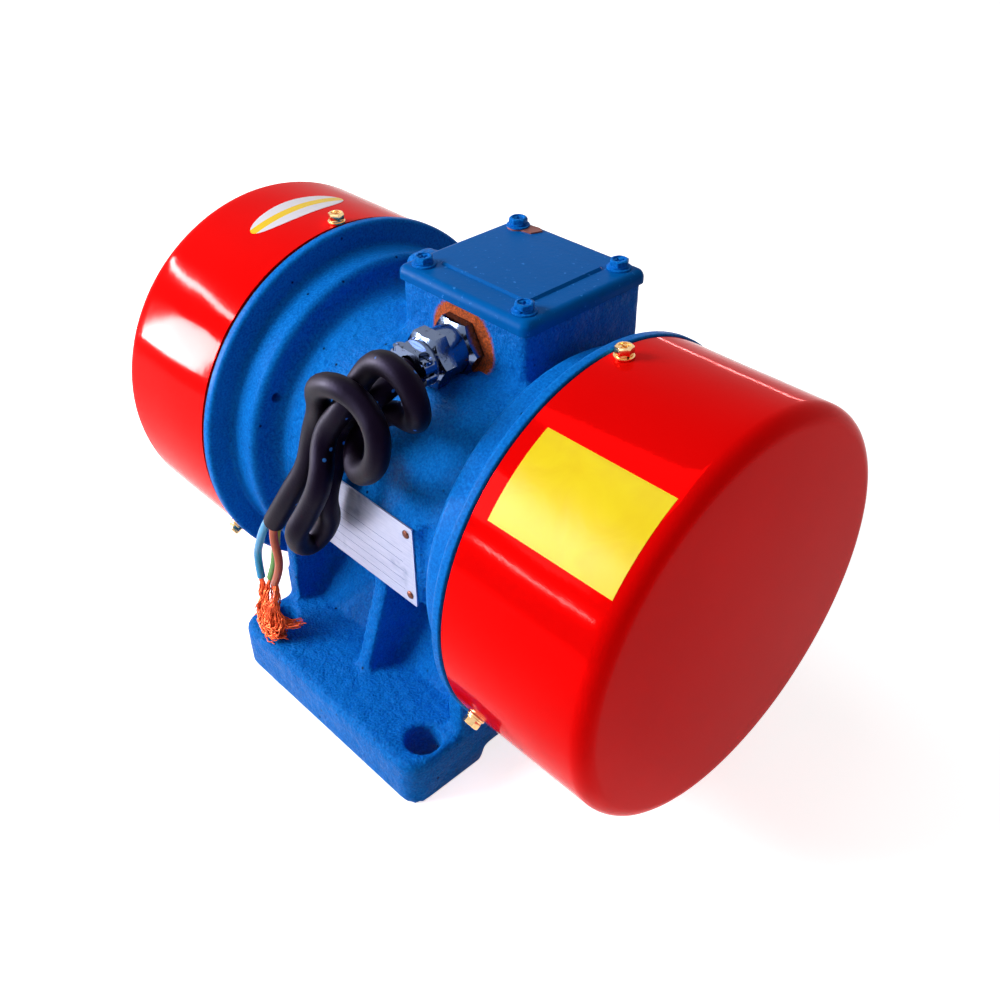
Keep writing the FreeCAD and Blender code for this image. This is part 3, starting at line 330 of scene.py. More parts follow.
# Hidden works: laminated stator and rotor, varnished copper winding, steel shaft and rollers, iron
# weights and shields. They show only with a cover off, so each has its plain worked finish.
laminated, tree, shader = finish_named("laminated_steel", Metallic=1.0, Roughness=0.45,
    Base_Color=linear("#8A8C90"))
place = add(tree, "TexCoord").outputs["Object"]
sheet_pitch = 0.5 * mm
sheets = add(tree, "TexWave", {"Vector": place, "Scale": 0.314 / sheet_pitch, "Distortion": 0.4},
    bands_direction="X")
sheet_edges = add(tree, "Bump", {"Height": sheets.outputs["Fac"], "Distance": 0.05 * mm})
feed(shader, {"Normal": sheet_edges})
cover_with(laminated, "stator_core", "rotor_core")


def worked_metal(name, colour, roughness, grain, depth, metallic=1.0, worn=None):
    """A finish with a fine tool or casting grain, of size and depth in metres, and a second, worn colour."""
    material, tree, shader = finish_named(name, Metallic=metallic)
    place = add(tree, "TexCoord").outputs["Object"]
    marks = add(tree, "TexNoise", {"Vector": place, "Scale": 1 / grain, "Detail": 4.0})
    dull = add(tree, "MapRange", {"Value": marks, "To Min": roughness - 0.08, "To Max": roughness + 0.12})
    other = linear(worn) if worn else tuple(0.75 * c for c in linear(colour)[:3]) + (1.0,)
    shade = add(tree, "Mix", {0: marks, 6: other, 7: linear(colour)}, data_type="RGBA")
    relief = add(tree, "Bump", {"Height": marks, "Distance": depth})
    feed(shader, {"Base Color": shade, "Roughness": dull, "Normal": relief})
    return material


ground_steel = worked_metal("ground_steel", "#B9BCC0", 0.25, 0.5 * mm, 0.01 * mm)
cover_with(ground_steel, "shaft", "bearing_inner_ring_left", "bearing_inner_ring_right",
    "bearing_outer_ring_left", "bearing_outer_ring_right", "bearing_rollers_left", "bearing_rollers_right",
    "bearing_spacers", "weight_keys", "shaft_circlips")
grey_iron = worked_metal("grey_iron", "#5E6064", 0.55, 1.2 * mm, 0.10 * mm)
cover_with(grey_iron, "fixed_weight_left", "fixed_weight_right", "adjustable_weight_left",
    "adjustable_weight_right", "bearing_shield_left", "bearing_shield_right", "bearing_cap_left",
    "bearing_cap_right")
black_steel = worked_metal("blackened_steel", "#3A3B3E", 0.4, 0.6 * mm, 0.02 * mm)
cover_with(black_steel, "bearing_shield_bolts", "bearing_cap_screws", "weight_clamp_bolt_left",
    "weight_clamp_bolt_right")
cast_aluminium = worked_metal("die_cast_aluminium", "#B4B7BA", 0.42, 0.9 * mm, 0.04 * mm)
cover_with(cast_aluminium, "rotor_end_rings")
turned_brass = worked_metal("turned_brass", "#C8A24A", 0.3, 0.4 * mm, 0.01 * mm)
cover_with(turned_brass, "terminal_studs", "bearing_cage_left", "bearing_cage_right")
winding = worked_metal("varnished_winding", "#8C4A22", 0.3, 0.8 * mm, 0.25 * mm, 0.3)
cover_with(winding, "stator_winding")
resin = worked_metal("moulded_resin", "#2A211C", 0.45, 0.5 * mm, 0.02 * mm, 0.0)
cover_with(resin, "terminal_board")
rubber = worked_metal("black_rubber", "#0A0A0B", 0.6, 0.6 * mm, 0.03 * mm, 0.0)
cover_with(rubber, "terminal_box_gasket", "gland_seal_ring", "cover_seal_left", "cover_seal_right")

# The terminal box lid is a pressed iron plate with a turned-down rim and a raised panel, in the same
# blue enamel. It was sprayed smooth, and two edges of its panel carry a painted highlight, a pale pinkish
# line.
lid_panel_left = -15.0 * mm
lid_panel_back = 51.5 * mm
lid_panel_over = 250.2 * mm
edge_highlight_width = 1.0 * mm
smooth_blue, tree, shader = finish_named("blue_enamel_on_pressed_lid", IOR=1.5, Roughness=0.34,
    Specular_IOR_Level=0.03, Specular_Tint=linear("#4F86D8"))
place = add(tree, "TexCoord").outputs["Object"]
patches = add(tree, "TexNoise", {"Vector": place, "Scale": 22.0, "Detail": 4.0})
body = add(tree, "Mix", {0: patches, 6: linear("#00559E"), 7: linear("#0060B2")}, data_type="RGBA")
skin = add(tree, "TexNoise", {"Vector": place, "Scale": 0.5 / sand_grain, "Detail": 3.0})
# Sparse lighter spots on the raised skin are painted glints.
painted_glint_spots = add(tree, "MapRange", {"Value": skin, "From Min": 0.66, "From Max": 0.74})
with_painted_glints = add(tree, "Mix", {0: painted_glint_spots, 6: body, 7: linear("#2F7FD2")}, data_type="RGBA")
# Pale pinkish lines along the panel's left and back top edges are painted highlight, wandering a little.
parts = add(tree, "SeparateXYZ", {0: place}).outputs
wander = add(tree, "Math", {0: patches, 1: 1.2 * mm, 2: -0.6 * mm}, operation="MULTIPLY_ADD")
left_at = add(tree, "Math", {0: parts["X"], 1: wander}, operation="ADD")
back_at = add(tree, "Math", {0: parts["Y"], 1: wander}, operation="ADD")
left_edge = add(tree, "Math", {0: left_at, 1: lid_panel_left, 2: edge_highlight_width}, operation="COMPARE")
back_edge = add(tree, "Math", {0: back_at, 1: lid_panel_back, 2: edge_highlight_width}, operation="COMPARE")
edges = add(tree, "Math", {0: left_edge, 1: back_edge}, operation="MAXIMUM")
over = add(tree, "Math", {0: parts["Z"], 1: lid_panel_over}, operation="GREATER_THAN")
painted_edge_highlight = add(tree, "Math", {0: edges, 1: over}, operation="MULTIPLY")
# The pale pinkish colour mixed in here is that painted edge highlight.
worn = add(tree, "Mix", {0: painted_edge_highlight, 6: with_painted_glints, 7: linear("#C9A7A8")}, data_type="RGBA")
skin_relief = add(tree, "Bump", {"Height": skin, "Distance": 0.12 * mm})
feed(shader, {"Base Color": worn, "Normal": skin_relief})
cover_with(smooth_blue, "terminal_box_lid")

# The lid's screws are steel hexagon heads with a dished cross recess, each on a split spring washer
# and a flat washer. They were painted over with the lid, and each head stops at its own turn.
screw_sizes = ["Across Flats", "Head Height", "Chamfer Radius", "Washer Radius", "Washer Thickness",
               "Spring Radius", "Spring Thickness", "Dish Radius", "Dish Depth", "Slot Length", "Slot Width",
               "Slot Depth", "Shank Radius", "Shank Length"]


def growing_tree(name, kinds):
    """A Geometry Nodes tree, geometry in and out, with named inputs of these kinds, and the inputs."""
    tree = bpy.data.node_groups.new(name, "GeometryNodeTree")
    tree.is_modifier = True
    for socket, kind in [("Geometry", "Geometry"), *kinds.items()]:
        tree.interface.new_socket(socket, in_out="INPUT", socket_type="NodeSocket" + kind)
    tree.interface.new_socket("Geometry", in_out="OUTPUT", socket_type="NodeSocketGeometry")
    return tree, add(tree, "NodeGroupInput").outputs


def made_real(tree, given, grown):
    """Ends a tree: what it grew becomes real geometry with its finish."""
    real = add(tree, "GeometryNodeRealizeInstances", {0: grown})
    dressed = add(tree, "GeometryNodeSetMaterial", {"Geometry": real, "Material": given["Finish"]})
    add(tree, "NodeGroupOutput", {"Geometry": dressed})


screws, given = growing_tree("recessed_hexagon_screws", {
    **dict.fromkeys(screw_sizes, "Float"), "Turn Seed": "Int", "Finish": "Material"})
corner = add(screws, "Math", {0: given["Across Flats"], 1: 3 ** -0.5}, operation="MULTIPLY")
seat = add(screws, "Math", {0: given["Washer Thickness"], 1: given["Spring Thickness"]}, operation="ADD")
middle = add(screws, "Math", {0: given["Head Height"], 1: 0.5, 2: seat}, operation="MULTIPLY_ADD")
top = add(screws, "Math", {0: given["Head Height"], 1: seat}, operation="ADD")
half_washer = add(screws, "Math", {0: given["Washer Thickness"], 1: 0.5}, operation="MULTIPLY")
spring_middle = add(screws, "Math", {0: given["Spring Thickness"], 1: 0.5, 2: given["Washer Thickness"]},
    operation="MULTIPLY_ADD")
half_shank = add(screws, "Math", {0: given["Shank Length"], 1: -0.5}, operation="MULTIPLY")
chamfer_spread = add(screws, "Math", {0: given["Head Height"], 1: 3 ** 0.5, 2: given["Chamfer Radius"]},
    operation="MULTIPLY_ADD")
at_seat, at_middle, at_top, in_washer, in_spring, in_shank = (
    add(screws, "CombineXYZ", {"Z": height})
    for height in (seat, middle, top, half_washer, spring_middle, half_shank))
prism = add(screws, "GeometryNodeMeshCylinder", {"Vertices": 6, "Radius": corner,
    "Depth": given["Head Height"]})
prism = add(screws, "GeometryNodeTransform", {"Geometry": prism, "Translation": at_middle})
chamfer = add(screws, "GeometryNodeMeshCone", {"Vertices": 40, "Radius Top": given["Chamfer Radius"],
    "Radius Bottom": chamfer_spread, "Depth": given["Head Height"]})
chamfer = add(screws, "GeometryNodeTransform", {"Geometry": chamfer, "Translation": at_seat})
blank = add(screws, "GeometryNodeMeshBoolean", {"Mesh 2": [prism, chamfer]}, operation="INTERSECT",
    solver="EXACT")
dish_height = add(screws, "Math", {0: given["Dish Depth"], 1: 2.0}, operation="MULTIPLY")
slot_reach = add(screws, "Math", {0: given["Dish Depth"], 1: given["Slot Depth"]}, operation="ADD")
slot_height = add(screws, "Math", {0: slot_reach, 1: 2.0}, operation="MULTIPLY")
cutters = [add(screws, "GeometryNodeMeshCylinder", {"Vertices": 32, "Radius": given["Dish Radius"],
    "Depth": dish_height})]
for along, across in (("Slot Length", "Slot Width"), ("Slot Width", "Slot Length")):
    size = add(screws, "CombineXYZ", {"X": given[along], "Y": given[across], "Z": slot_height})
    cutters.append(add(screws, "GeometryNodeMeshCube", {"Size": size}))
placed = [add(screws, "GeometryNodeTransform", {"Geometry": cutter, "Translation": at_top})
    for cutter in cutters]
head = add(screws, "GeometryNodeMeshBoolean", {"Mesh 1": blank, "Mesh 2": placed}, operation="DIFFERENCE",
    solver="EXACT")
washer = add(screws, "GeometryNodeMeshCylinder", {"Vertices": 40, "Radius": given["Washer Radius"],
    "Depth": given["Washer Thickness"]})
washer = add(screws, "GeometryNodeTransform", {"Geometry": washer, "Translation": in_washer})
spring_line = add(screws, "Math", {0: given["Spring Thickness"], 1: -0.5, 2: given["Spring Radius"]},
    operation="MULTIPLY_ADD")
coil = add(screws, "GeometryNodeCurveArc", {"Resolution": 44, "Radius": spring_line,
    "Sweep Angle": math.radians(346.0)}, mode="RADIUS")
section = add(screws, "GeometryNodeCurvePrimitiveQuadrilateral", {
    "Width": given["Spring Thickness"], "Height": given["Spring Thickness"]})
spring = add(screws, "GeometryNodeCurveToMesh", {"Curve": coil, "Profile Curve": section,
    "Fill Caps": True})
spring = add(screws, "GeometryNodeTransform", {"Geometry": spring, "Translation": in_spring})
shank = add(screws, "GeometryNodeMeshCylinder", {"Vertices": 24, "Radius": given["Shank Radius"],
    "Depth": given["Shank Length"]})
shank = add(screws, "GeometryNodeTransform", {"Geometry": shank, "Translation": in_shank})
whole = add(screws, "GeometryNodeJoinGeometry", {"Geometry": [head, washer, spring, shank]})
way = add(screws, "GeometryNodeInputNamedAttribute", {"Name": "way"}, data_type="FLOAT_VECTOR")
facing = add(screws, "FunctionNodeAlignRotationToVector", {"Vector": way}, axis="Z")
turn = add(screws, "FunctionNodeRandomValue", {3: 2 * math.pi, "Seed": given["Turn Seed"]},
    data_type="FLOAT")
spin = add(screws, "FunctionNodeAxisAngleToRotation", {"Axis": (0, 0, 1), "Angle": turn})
pose = add(screws, "FunctionNodeRotateRotation", {"Rotation": facing, "Rotate By": spin},
    rotation_space="LOCAL")
set_out = add(screws, "GeometryNodeInstanceOnPoints", {
    "Points": given["Geometry"], "Instance": whole, "Rotation": pose})
made_real(screws, given, set_out)


def grow(made, tree, values):
    """Puts a tree on an object as a modifier, with its named inputs."""
    grown = made.modifiers.new(tree.name, "NODES")
    grown.node_group = tree
    for socket in tree.interface.items_tree:
        if socket.in_out == "INPUT" and socket.name in values:
            grown[socket.identifier] = values[socket.name]


def planted(name, tree, places, ways, values, edge=0.0):
    """Plain mesh of what a tree sets on these places, facing these ways, its edges worn by edge metres."""
    points = bpy.data.meshes.new(name)
    points.from_pydata([tuple(p) for p in places], [], [])
    facing = points.attributes.new("way", "FLOAT_VECTOR", "POINT")
    for item, direction in zip(facing.data, ways):
        item.vector = direction
    made = in_scene(name, points)
    grow(made, tree, values)
    if edge:
        worn_edges = made.modifiers.new("worn edges", "BEVEL")
        worn_edges.width, worn_edges.segments, worn_edges.limit_method = edge, 2, "ANGLE"
        worn_edges.angle_limit = math.radians(50)
    mesh = plain_mesh(made)
    sharpen(mesh, 40)
    return mesh


painted_steel = blue_enamel("blue_enamel_on_screw_heads", 0.05 * mm)
lid_top = 250.0 * mm
tag_thickness = 0.8 * mm
lid_centre_x, lid_centre_y = 17.0 * mm, 24.0 * mm
lid_screw_x, lid_screw_y = 36.3 * mm, 33.75 * mm
lid_seats = [Vector((lid_centre_x + i * lid_screw_x, lid_centre_y + j * lid_screw_y,
                     lid_top + (tag_thickness if (i, j) == (-1, 1) else 0.0)))
             for i in (-1, 1) for j in (-1, 1)]
lid_screws = planted("lid_screws", screws, lid_seats, [(0, 0, 1)] * 4, {
    "Across Flats": 9.0 * mm, "Head Height": 2.9 * mm, "Chamfer Radius": 4.1 * mm, "Washer Radius": 6.4 * mm,
    "Washer Thickness": 0.9 * mm, "Spring Radius": 5.0 * mm, "Spring Thickness": 1.1 * mm,
    "Dish Radius": 3.3 * mm, "Dish Depth": 0.7 * mm, "Slot Length": 5.2 * mm, "Slot Width": 1.3 * mm,
    "Slot Depth": 1.2 * mm, "Shank Radius": 2.95 * mm, "Shank Length": 19.0 * mm, "Turn Seed": 4,
    "Finish": painted_steel}, edge=0.16 * mm)
piece("lid_screws", lid_screws, None,
    stands_for=["lid_bolts", "lid_spring_washers", "lid_flat_washers"])

# The tag under the rear left screw is thin stamped copper, oxidised brown with a rust-red ring.
tarnished = worked_metal("oxidised_copper", "#9C4A38", 0.5, 0.9 * mm, 0.05 * mm, 0.6, worn="#5A4A52")
cover_with(tarnished, "earth_tag")

# The end covers are deep-drawn sheet steel, sprayed with glossy red enamel, each held by three
# screws. Drawing leaves the sheet very slightly wavy, which breaks and bends its highlights.
cover_radius = 110.0 * mm
cover_wall = 2.0 * mm
cover_edge = 9.0 * mm
cover_end = 189.5 * mm
cover_segments = 224
cover_gap = {"left": 3.2 * mm, "right": 0.9 * mm}
ripple_size = 38 * mm
ripple_depth = 0.14 * mm
ripple_sink = 0.1 * mm
red_enamel, tree, shader = finish_named("red_stoving_enamel", IOR=1.5, Roughness=0.08, Metallic=0.2,
    Specular_IOR_Level=0.02, Specular_Tint=(1.0, 0.1, 0.1, 1.0))
place = add(tree, "TexCoord").outputs["Object"]
clouds = add(tree, "TexNoise", {"Vector": place, "Scale": 14.0, "Detail": 3.0})
shade = add(tree, "Mix", {0: clouds, 6: linear("#DE0202"), 7: linear("#EE0606")}, data_type="RGBA")
peel_size = 4.5 * mm
peel = add(tree, "TexNoise", {"Vector": place, "Scale": 1 / peel_size, "Detail": 2.0})
peel_relief = add(tree, "Bump", {"Height": peel, "Distance": 0.03 * mm})
feed(shader, {"Base Color": shade, "Normal": peel_relief})


def on_cover(x, angle, lift):
    """Point on a cover's wavy side; angle 0 faces the gland side, a quarter turn is the top."""
    spoke = Vector((0, -math.cos(angle), math.sin(angle)))
    crown = Vector((x, 0, shaft_height)) + spoke * cover_radius
    wave = min(0.0, noise.fractal(crown / ripple_size, 1.0, 2.0, 2) * ripple_depth - ripple_sink)
    return crown + spoke * (wave + lift)


for side, name in ((-1, "left"), (1, "right")):
    start = flange_face + cover_gap[name]
    inner = cover_radius - cover_wall
    along = [start + (cover_end - cover_edge - start) * i / 14 for i in range(15)]
    outside = [(x, cover_radius, 0) for x in along[:-1]] + [(cover_end, cover_radius, cover_edge)]
    outside += [(cover_end, cover_radius * (1 - i / 8), 0) for i in range(1, 9)]
    inside = [(cover_end - cover_wall, 0, 0), (cover_end - cover_wall, inner, cover_edge - cover_wall),
              (start, inner, 0)]
    shell = turned("cover_" + name, rounded(outside + inside, 10), cover_segments, side)
    for v in shell.vertices:
        out = Vector((0, v.co.y, v.co.z - shaft_height))
        if out.length > 1e-6:
            wave = noise.fractal(v.co / ripple_size, 1.0, 2.0, 2) * ripple_depth
            v.co += out.normalized() * min(0.0, wave - ripple_sink)
    sharpen(shell, 50)
    piece("end_cover_skin_" + name, shell, red_enamel, stands_for=["end_cover_" + name])

# The cover screws are the same kind, smaller, in yellow-passivated zinc: pale gold with a rainbow cast.
yellow_zinc = worked_metal("yellow_passivated_zinc", "#F6DCA8", 0.16, 2.2 * mm, 0.01 * mm, worn="#DDA468")
cover_seat = 110.08 * mm
cover_screw_x = 107.2 * mm
cover_screw_turns = [math.radians(a) for a in (90.0, -30.0, 210.0)]
spokes = [Vector((0, math.cos(a), math.sin(a))) for _ in (-1, 1) for a in cover_screw_turns]
cover_seats = [Vector((side * cover_screw_x, 0, shaft_height)) + spoke * cover_seat
    for side, spoke in zip((-1, -1, -1, 1, 1, 1), spokes)]
cover_screws = planted("cover_screws", screws, cover_seats, spokes, {
    "Across Flats": 8.0 * mm, "Head Height": 3.6 * mm, "Chamfer Radius": 3.65 * mm, "Washer Radius": 5.0 * mm,
    "Washer Thickness": 1.0 * mm, "Spring Radius": 4.3 * mm, "Spring Thickness": 1.1 * mm,
    "Dish Radius": 2.9 * mm, "Dish Depth": 0.7 * mm, "Slot Length": 4.6 * mm, "Slot Width": 1.2 * mm,
    "Slot Depth": 1.3 * mm, "Shank Radius": 2.45 * mm, "Shank Length": 10.5 * mm, "Turn Seed": 11,
    "Finish": yellow_zinc}, edge=0.14 * mm)
piece("cover_screws", cover_screws, None,
    stands_for=["cover_bolts", "cover_spring_washers", "cover_flat_washers"])

# Two blank printed-film stickers: a square yellow one on the right cover, and a white oval with a plain
# yellow band on top of the left. The film is thin, satin and follows every wave of the sheet.
film_thickness = 0.15 * mm
film_lift = 0.02 * mm
yellow_along = 110 * mm, 181 * mm
yellow_angles = math.radians(37), math.radians(62)
oval_along = -152.5 * mm, -129 * mm
oval_angles = math.radians(71), math.radians(105)


def sticker(name, x_low, x_high, angle_low, angle_high, columns, rows, oval, material):
    """Thin film on a cover's side between two distances along the shaft and two angles."""
    bm = bmesh.new()
    layers = []
    for lift in (film_lift, film_lift + film_thickness):
        grid = []
        for i in range(columns + 1):
            for j in range(rows + 1):
                u, v = 2 * i / columns - 1, 2 * j / rows - 1
                if oval:
                    u, v = u * math.sqrt(1 - v * v / 2), v * math.sqrt(1 - u * u / 2)
                x = (x_low + x_high) / 2 + u * (x_high - x_low) / 2
                angle = (angle_low + angle_high) / 2 + v * (angle_high - angle_low) / 2
                grid.append(bm.verts.new(on_cover(x, angle, lift)))
        layers.append(grid)
    below, above = layers

    def corner_of(i, j):
        return i * (rows + 1) + j

    for i in range(columns):
        for j in range(rows):
            ring = [corner_of(i, j), corner_of(i + 1, j), corner_of(i + 1, j + 1), corner_of(i, j + 1)]
            bm.faces.new([above[k] for k in ring])
            bm.faces.new([below[k] for k in reversed(ring)])
    rim = [corner_of(i, 0) for i in range(columns)] + [corner_of(columns, j) for j in range(rows)]
    rim += [corner_of(i, rows) for i in range(columns, 0, -1)]
    rim += [corner_of(0, j) for j in range(rows, 0, -1)]
    for a, b in zip(rim, rim[1:] + rim[:1]):
        bm.faces.new([below[a], below[b], above[b], above[a]])
    bmesh.ops.recalc_face_normals(bm, faces=bm.faces)
    mesh = bpy.data.meshes.new(name)
    bm.to_mesh(mesh)
    bm.free()
    sharpen(mesh, 60)
    return piece(name, mesh, material)


def film(name, roughness):
    """Printed plastic film with faint creases from being smoothed down by hand."""
    material, tree, shader = finish_named(name, Roughness=roughness, Specular_IOR_Level=0.15)
    place = add(tree, "TexCoord").outputs["Object"]
    creases = add(tree, "TexNoise", {"Vector": place, "Scale": 55.0, "Detail": 3.0, "Distortion": 0.6})
    relief = add(tree, "Bump", {"Height": creases, "Distance": 0.25 * mm})
    feed(shader, {"Normal": relief})
    return material, tree, shader, place, creases


yellow_film, tree, shader, place, creases = film("yellow_printed_film", 0.28)
tone = add(tree, "Mix", {0: creases, 6: linear("#E4BE02"), 7: linear("#F2DC0C")}, data_type="RGBA")
feed(shader, {"Base Color": tone})
sticker("yellow_sticker", *yellow_along, *yellow_angles, 36, 26, False, yellow_film)

oval_middle = sum(oval_along) / 2
band_half = 3.1 * mm
white_film, tree, shader, place, creases = film("white_printed_film", 0.25)
parts = add(tree, "SeparateXYZ", {0: place}).outputs
band = add(tree, "Math", {0: parts["X"], 1: oval_middle, 2: band_half}, operation="COMPARE")
paper = add(tree, "Mix", {0: creases, 6: linear("#D2CEDA"), 7: linear("#E6E2EA")}, data_type="RGBA")
printed = add(tree, "Mix", {0: band, 6: paper, 7: linear("#EEC414")}, data_type="RGBA")
feed(shader, {"Base Color": printed})
sticker("oval_sticker", *oval_along, *oval_angles, 20, 44, True, white_film)

# The rating plate is thin bare aluminium on four copper rivets. Only its etched rule lines are kept.
plate_x, plate_z = 4.5 * mm, 132.4 * mm
plate_half_x, plate_half_z = 46.5 * mm, 25.5 * mm
rule_pitch = 6.2 * mm
rule_half = 0.16 * mm
rule_margin = 9 * mm
rule_middle, rule_reach = -4 * mm, 15 * mm
rivet_inset_x, rivet_inset_z = 5 * mm, 5.5 * mm
rivet_seat_y = -84.0 * mm
plate_alu, tree, shader = finish_named("bare_etched_aluminium", Metallic=0.75, Roughness=0.36)
place = add(tree, "TexCoord").outputs["Object"]
parts = add(tree, "SeparateXYZ", {0: place}).outputs
stretch = add(tree, "Mapping", {"Vector": place, "Scale": (0.08, 1.0, 1.0)})
brushed = add(tree, "TexNoise", {"Vector": stretch, "Scale": 1 / (0.8 * mm), "Detail": 3.0})
dirt = add(tree, "TexNoise", {"Vector": place, "Scale": 60.0, "Detail": 5.0})
silver = add(tree, "Mix", {0: brushed, 6: linear("#8C96BC"), 7: linear("#C4C8DC")}, data_type="RGBA")
height = add(tree, "Math", {0: parts["Z"], 1: plate_z}, operation="SUBTRACT")
step = add(tree, "Math", {0: height, 1: rule_pitch / 2}, operation="PINGPONG")
rule = add(tree, "Math", {0: step, 1: 0.0, 2: rule_half}, operation="COMPARE")
sideways = add(tree, "Math", {0: parts["X"], 1: plate_x, 2: plate_half_x - rule_margin},
    operation="COMPARE")
field = add(tree, "Math", {0: height, 1: rule_middle, 2: rule_reach}, operation="COMPARE")
ruled = add(tree, "Math", {0: rule, 1: sideways}, operation="MULTIPLY")
ruled = add(tree, "Math", {0: ruled, 1: field}, operation="MULTIPLY")
etched = add(tree, "Mix", {0: ruled, 6: silver, 7: linear("#46558C")}, data_type="RGBA")
grime = add(tree, "MapRange", {"Value": dirt, "From Min": 0.6, "From Max": 0.72, "To Max": 0.5})
soiled = add(tree, "Mix", {0: grime, 6: etched, 7: linear("#4A5F8C")}, data_type="RGBA")
grooves = add(tree, "Bump", {"Height": brushed, "Distance": 0.02 * mm})
feed(shader, {"Base Color": soiled, "Normal": grooves})
cover_with(plate_alu, "nameplate")

rivets, given = growing_tree("dome_rivets", {"Head Size": "Vector", "Finish": "Material"})
dome = add(rivets, "GeometryNodeMeshUVSphere", {"Segments": 24, "Rings": 14, "Radius": 1.0})
dome = add(rivets, "GeometryNodeTransform", {"Geometry": dome, "Scale": given["Head Size"]})
way = add(rivets, "GeometryNodeInputNamedAttribute", {"Name": "way"}, data_type="FLOAT_VECTOR")
facing = add(rivets, "FunctionNodeAlignRotationToVector", {"Vector": way}, axis="Z")
set_out = add(rivets, "GeometryNodeInstanceOnPoints", {
    "Points": given["Geometry"], "Instance": dome, "Rotation": facing})
made_real(rivets, given, set_out)
rivet_copper = worked_metal("rivet_copper", "#7A4636", 0.4, 0.6 * mm, 0.03 * mm, worn="#3C2A2A")
rivet_seats = [(plate_x + i * (plate_half_x - rivet_inset_x), rivet_seat_y,
                plate_z + j * (plate_half_z - rivet_inset_z)) for i in (-1, 1) for j in (-1, 1)]
plate_rivets = planted("plate_rivets", rivets, rivet_seats, [(0, -1, 0)] * 4, {
    "Head Size": (2.4 * mm, 2.4 * mm, 1.1 * mm), "Finish": rivet_copper})
piece("plate_rivets", plate_rivets, None, stands_for=["nameplate_rivets"])

# The cable gland is turned brass with bright nickel plate: a hexagon body, a nut and a two-jaw clamp.
# The plate mirrors the blue box and the white room; its base colour is tinted blue as painted reflection of
# the box, and it carries fine dark spatter.
nickel, tree, shader = finish_named("bright_nickel_plate", Metallic=1.0)
place = add(tree, "TexCoord").outputs["Object"]
lathe = add(tree, "TexNoise", {"Vector": place, "Scale": 1 / (1.5 * mm), "Detail": 4.0})
spatter = add(tree, "TexNoise", {"Vector": place, "Scale": 1 / (2.2 * mm), "Detail": 5.0, "Roughness": 0.7})
spot = add(tree, "MapRange", {"Value": spatter, "From Min": 0.58, "From Max": 0.66})
# The bluish base colour is painted reflection of the blue casting; the dark spots are spatter.
nickel_with_painted_reflection = add(tree, "Mix", {0: spot, 6: linear("#62708E"), 7: linear("#1E2633")}, data_type="RGBA")
dull = add(tree, "MapRange", {"Value": spot, "To Min": 0.12, "To Max": 0.45})
relief = add(tree, "Bump", {"Height": lathe, "Distance": 0.03 * mm})
feed(shader, {"Base Color": nickel_with_painted_reflection, "Roughness": dull, "Normal": relief})
cover_with(nickel, "gland_body", "gland_inner_nut", "gland_compression_nut", "gland_clamp_jaws",
    "gland_clamp_screws")

# The lead is a black rubber-sheathed cable with three cores, folded up on itself in front of the barrel.
# Its points are the route of the CAD tube, in metres, drawn in to the tight bundle of the real one.
# Blue overspray from the casting has speckled its sheath.
lead_diameter = 12.4 * mm
lead_route = [
    (0.0185, -0.054, 0.223), (0.0205, -0.065, 0.2205), (0.0185, -0.0765, 0.215), (0.003, -0.079, 0.2025),
    (-0.010, -0.0755, 0.1895), (-0.005, -0.087, 0.173), (-0.0035, -0.0965, 0.1545), (-0.007, -0.092, 0.1365),
    (-0.016, -0.0975, 0.1195), (-0.015, -0.1075, 0.1225), (-0.0075, -0.1145, 0.140), (-0.001, -0.1085, 0.154),
    (0.008, -0.104, 0.175), (-0.0015, -0.094, 0.194), (0.014, -0.0885, 0.2155), (0.019, -0.0795, 0.2325),
    (0.034, -0.080, 0.2445), (0.051, -0.079, 0.2395), (0.0545, -0.077, 0.222), (0.039, -0.069, 0.208),
    (0.0175, -0.066, 0.205), (0.007, -0.0805, 0.1900), (0.0245, -0.095, 0.1830), (0.0435, -0.0965, 0.1965),
    (0.047, -0.095, 0.216), (0.034, -0.093, 0.227), (0.019, -0.0965, 0.232), (0.000, -0.0955, 0.2225),
    (-0.0085, -0.089, 0.204), (-0.0185, -0.0885, 0.185), (-0.022, -0.092, 0.164), (-0.032, -0.097, 0.146),
    (-0.0425, -0.101, 0.1275), (-0.0495, -0.102, 0.1165)]


def smooth_line(curve, route):
    """Adds a smooth open line along the control points of a route."""
    spline = curve.splines.new("NURBS")
    spline.points.add(len(route) - 1)
    for point, place in zip(spline.points, route):
        point.co = (*place, 1.0)
    spline.order_u = 3
    spline.use_endpoint_u = True


def cord_tube(name, route, diameter, material, node):
    """A round cord along the control points of its route, as a mesh, and the line that it follows."""
    curve = bpy.data.curves.new(name + "_line", "CURVE")
    curve.dimensions = "3D"
    curve.resolution_u = 12
    smooth_line(curve, route)
    line = in_scene(name + "_line", curve)
    graph = bpy.context.evaluated_depsgraph_get()
    path = [v.co.copy() for v in bpy.data.meshes.new_from_object(line.evaluated_get(graph)).vertices]
    curve.bevel_depth = diameter / 2
    curve.bevel_resolution = 8
    curve.use_fill_caps = True
    bpy.context.view_layer.update()
    tube = plain_mesh(line)
    sharpen(tube, 60)
    around = len(tube.vertices) // len(path)
    stripe = tube.attributes.new("side", "FLOAT", "POINT")
    stripe.data.foreach_set("value", [abs(2 * (i % around) / around - 1)
        for i in range(len(tube.vertices))])
    clean = [p for i, p in enumerate(path) if i == 0 or (p - path[i - 1]).length > 1e-6]
    return piece(name, tube, material, stands_for=[node]), clean


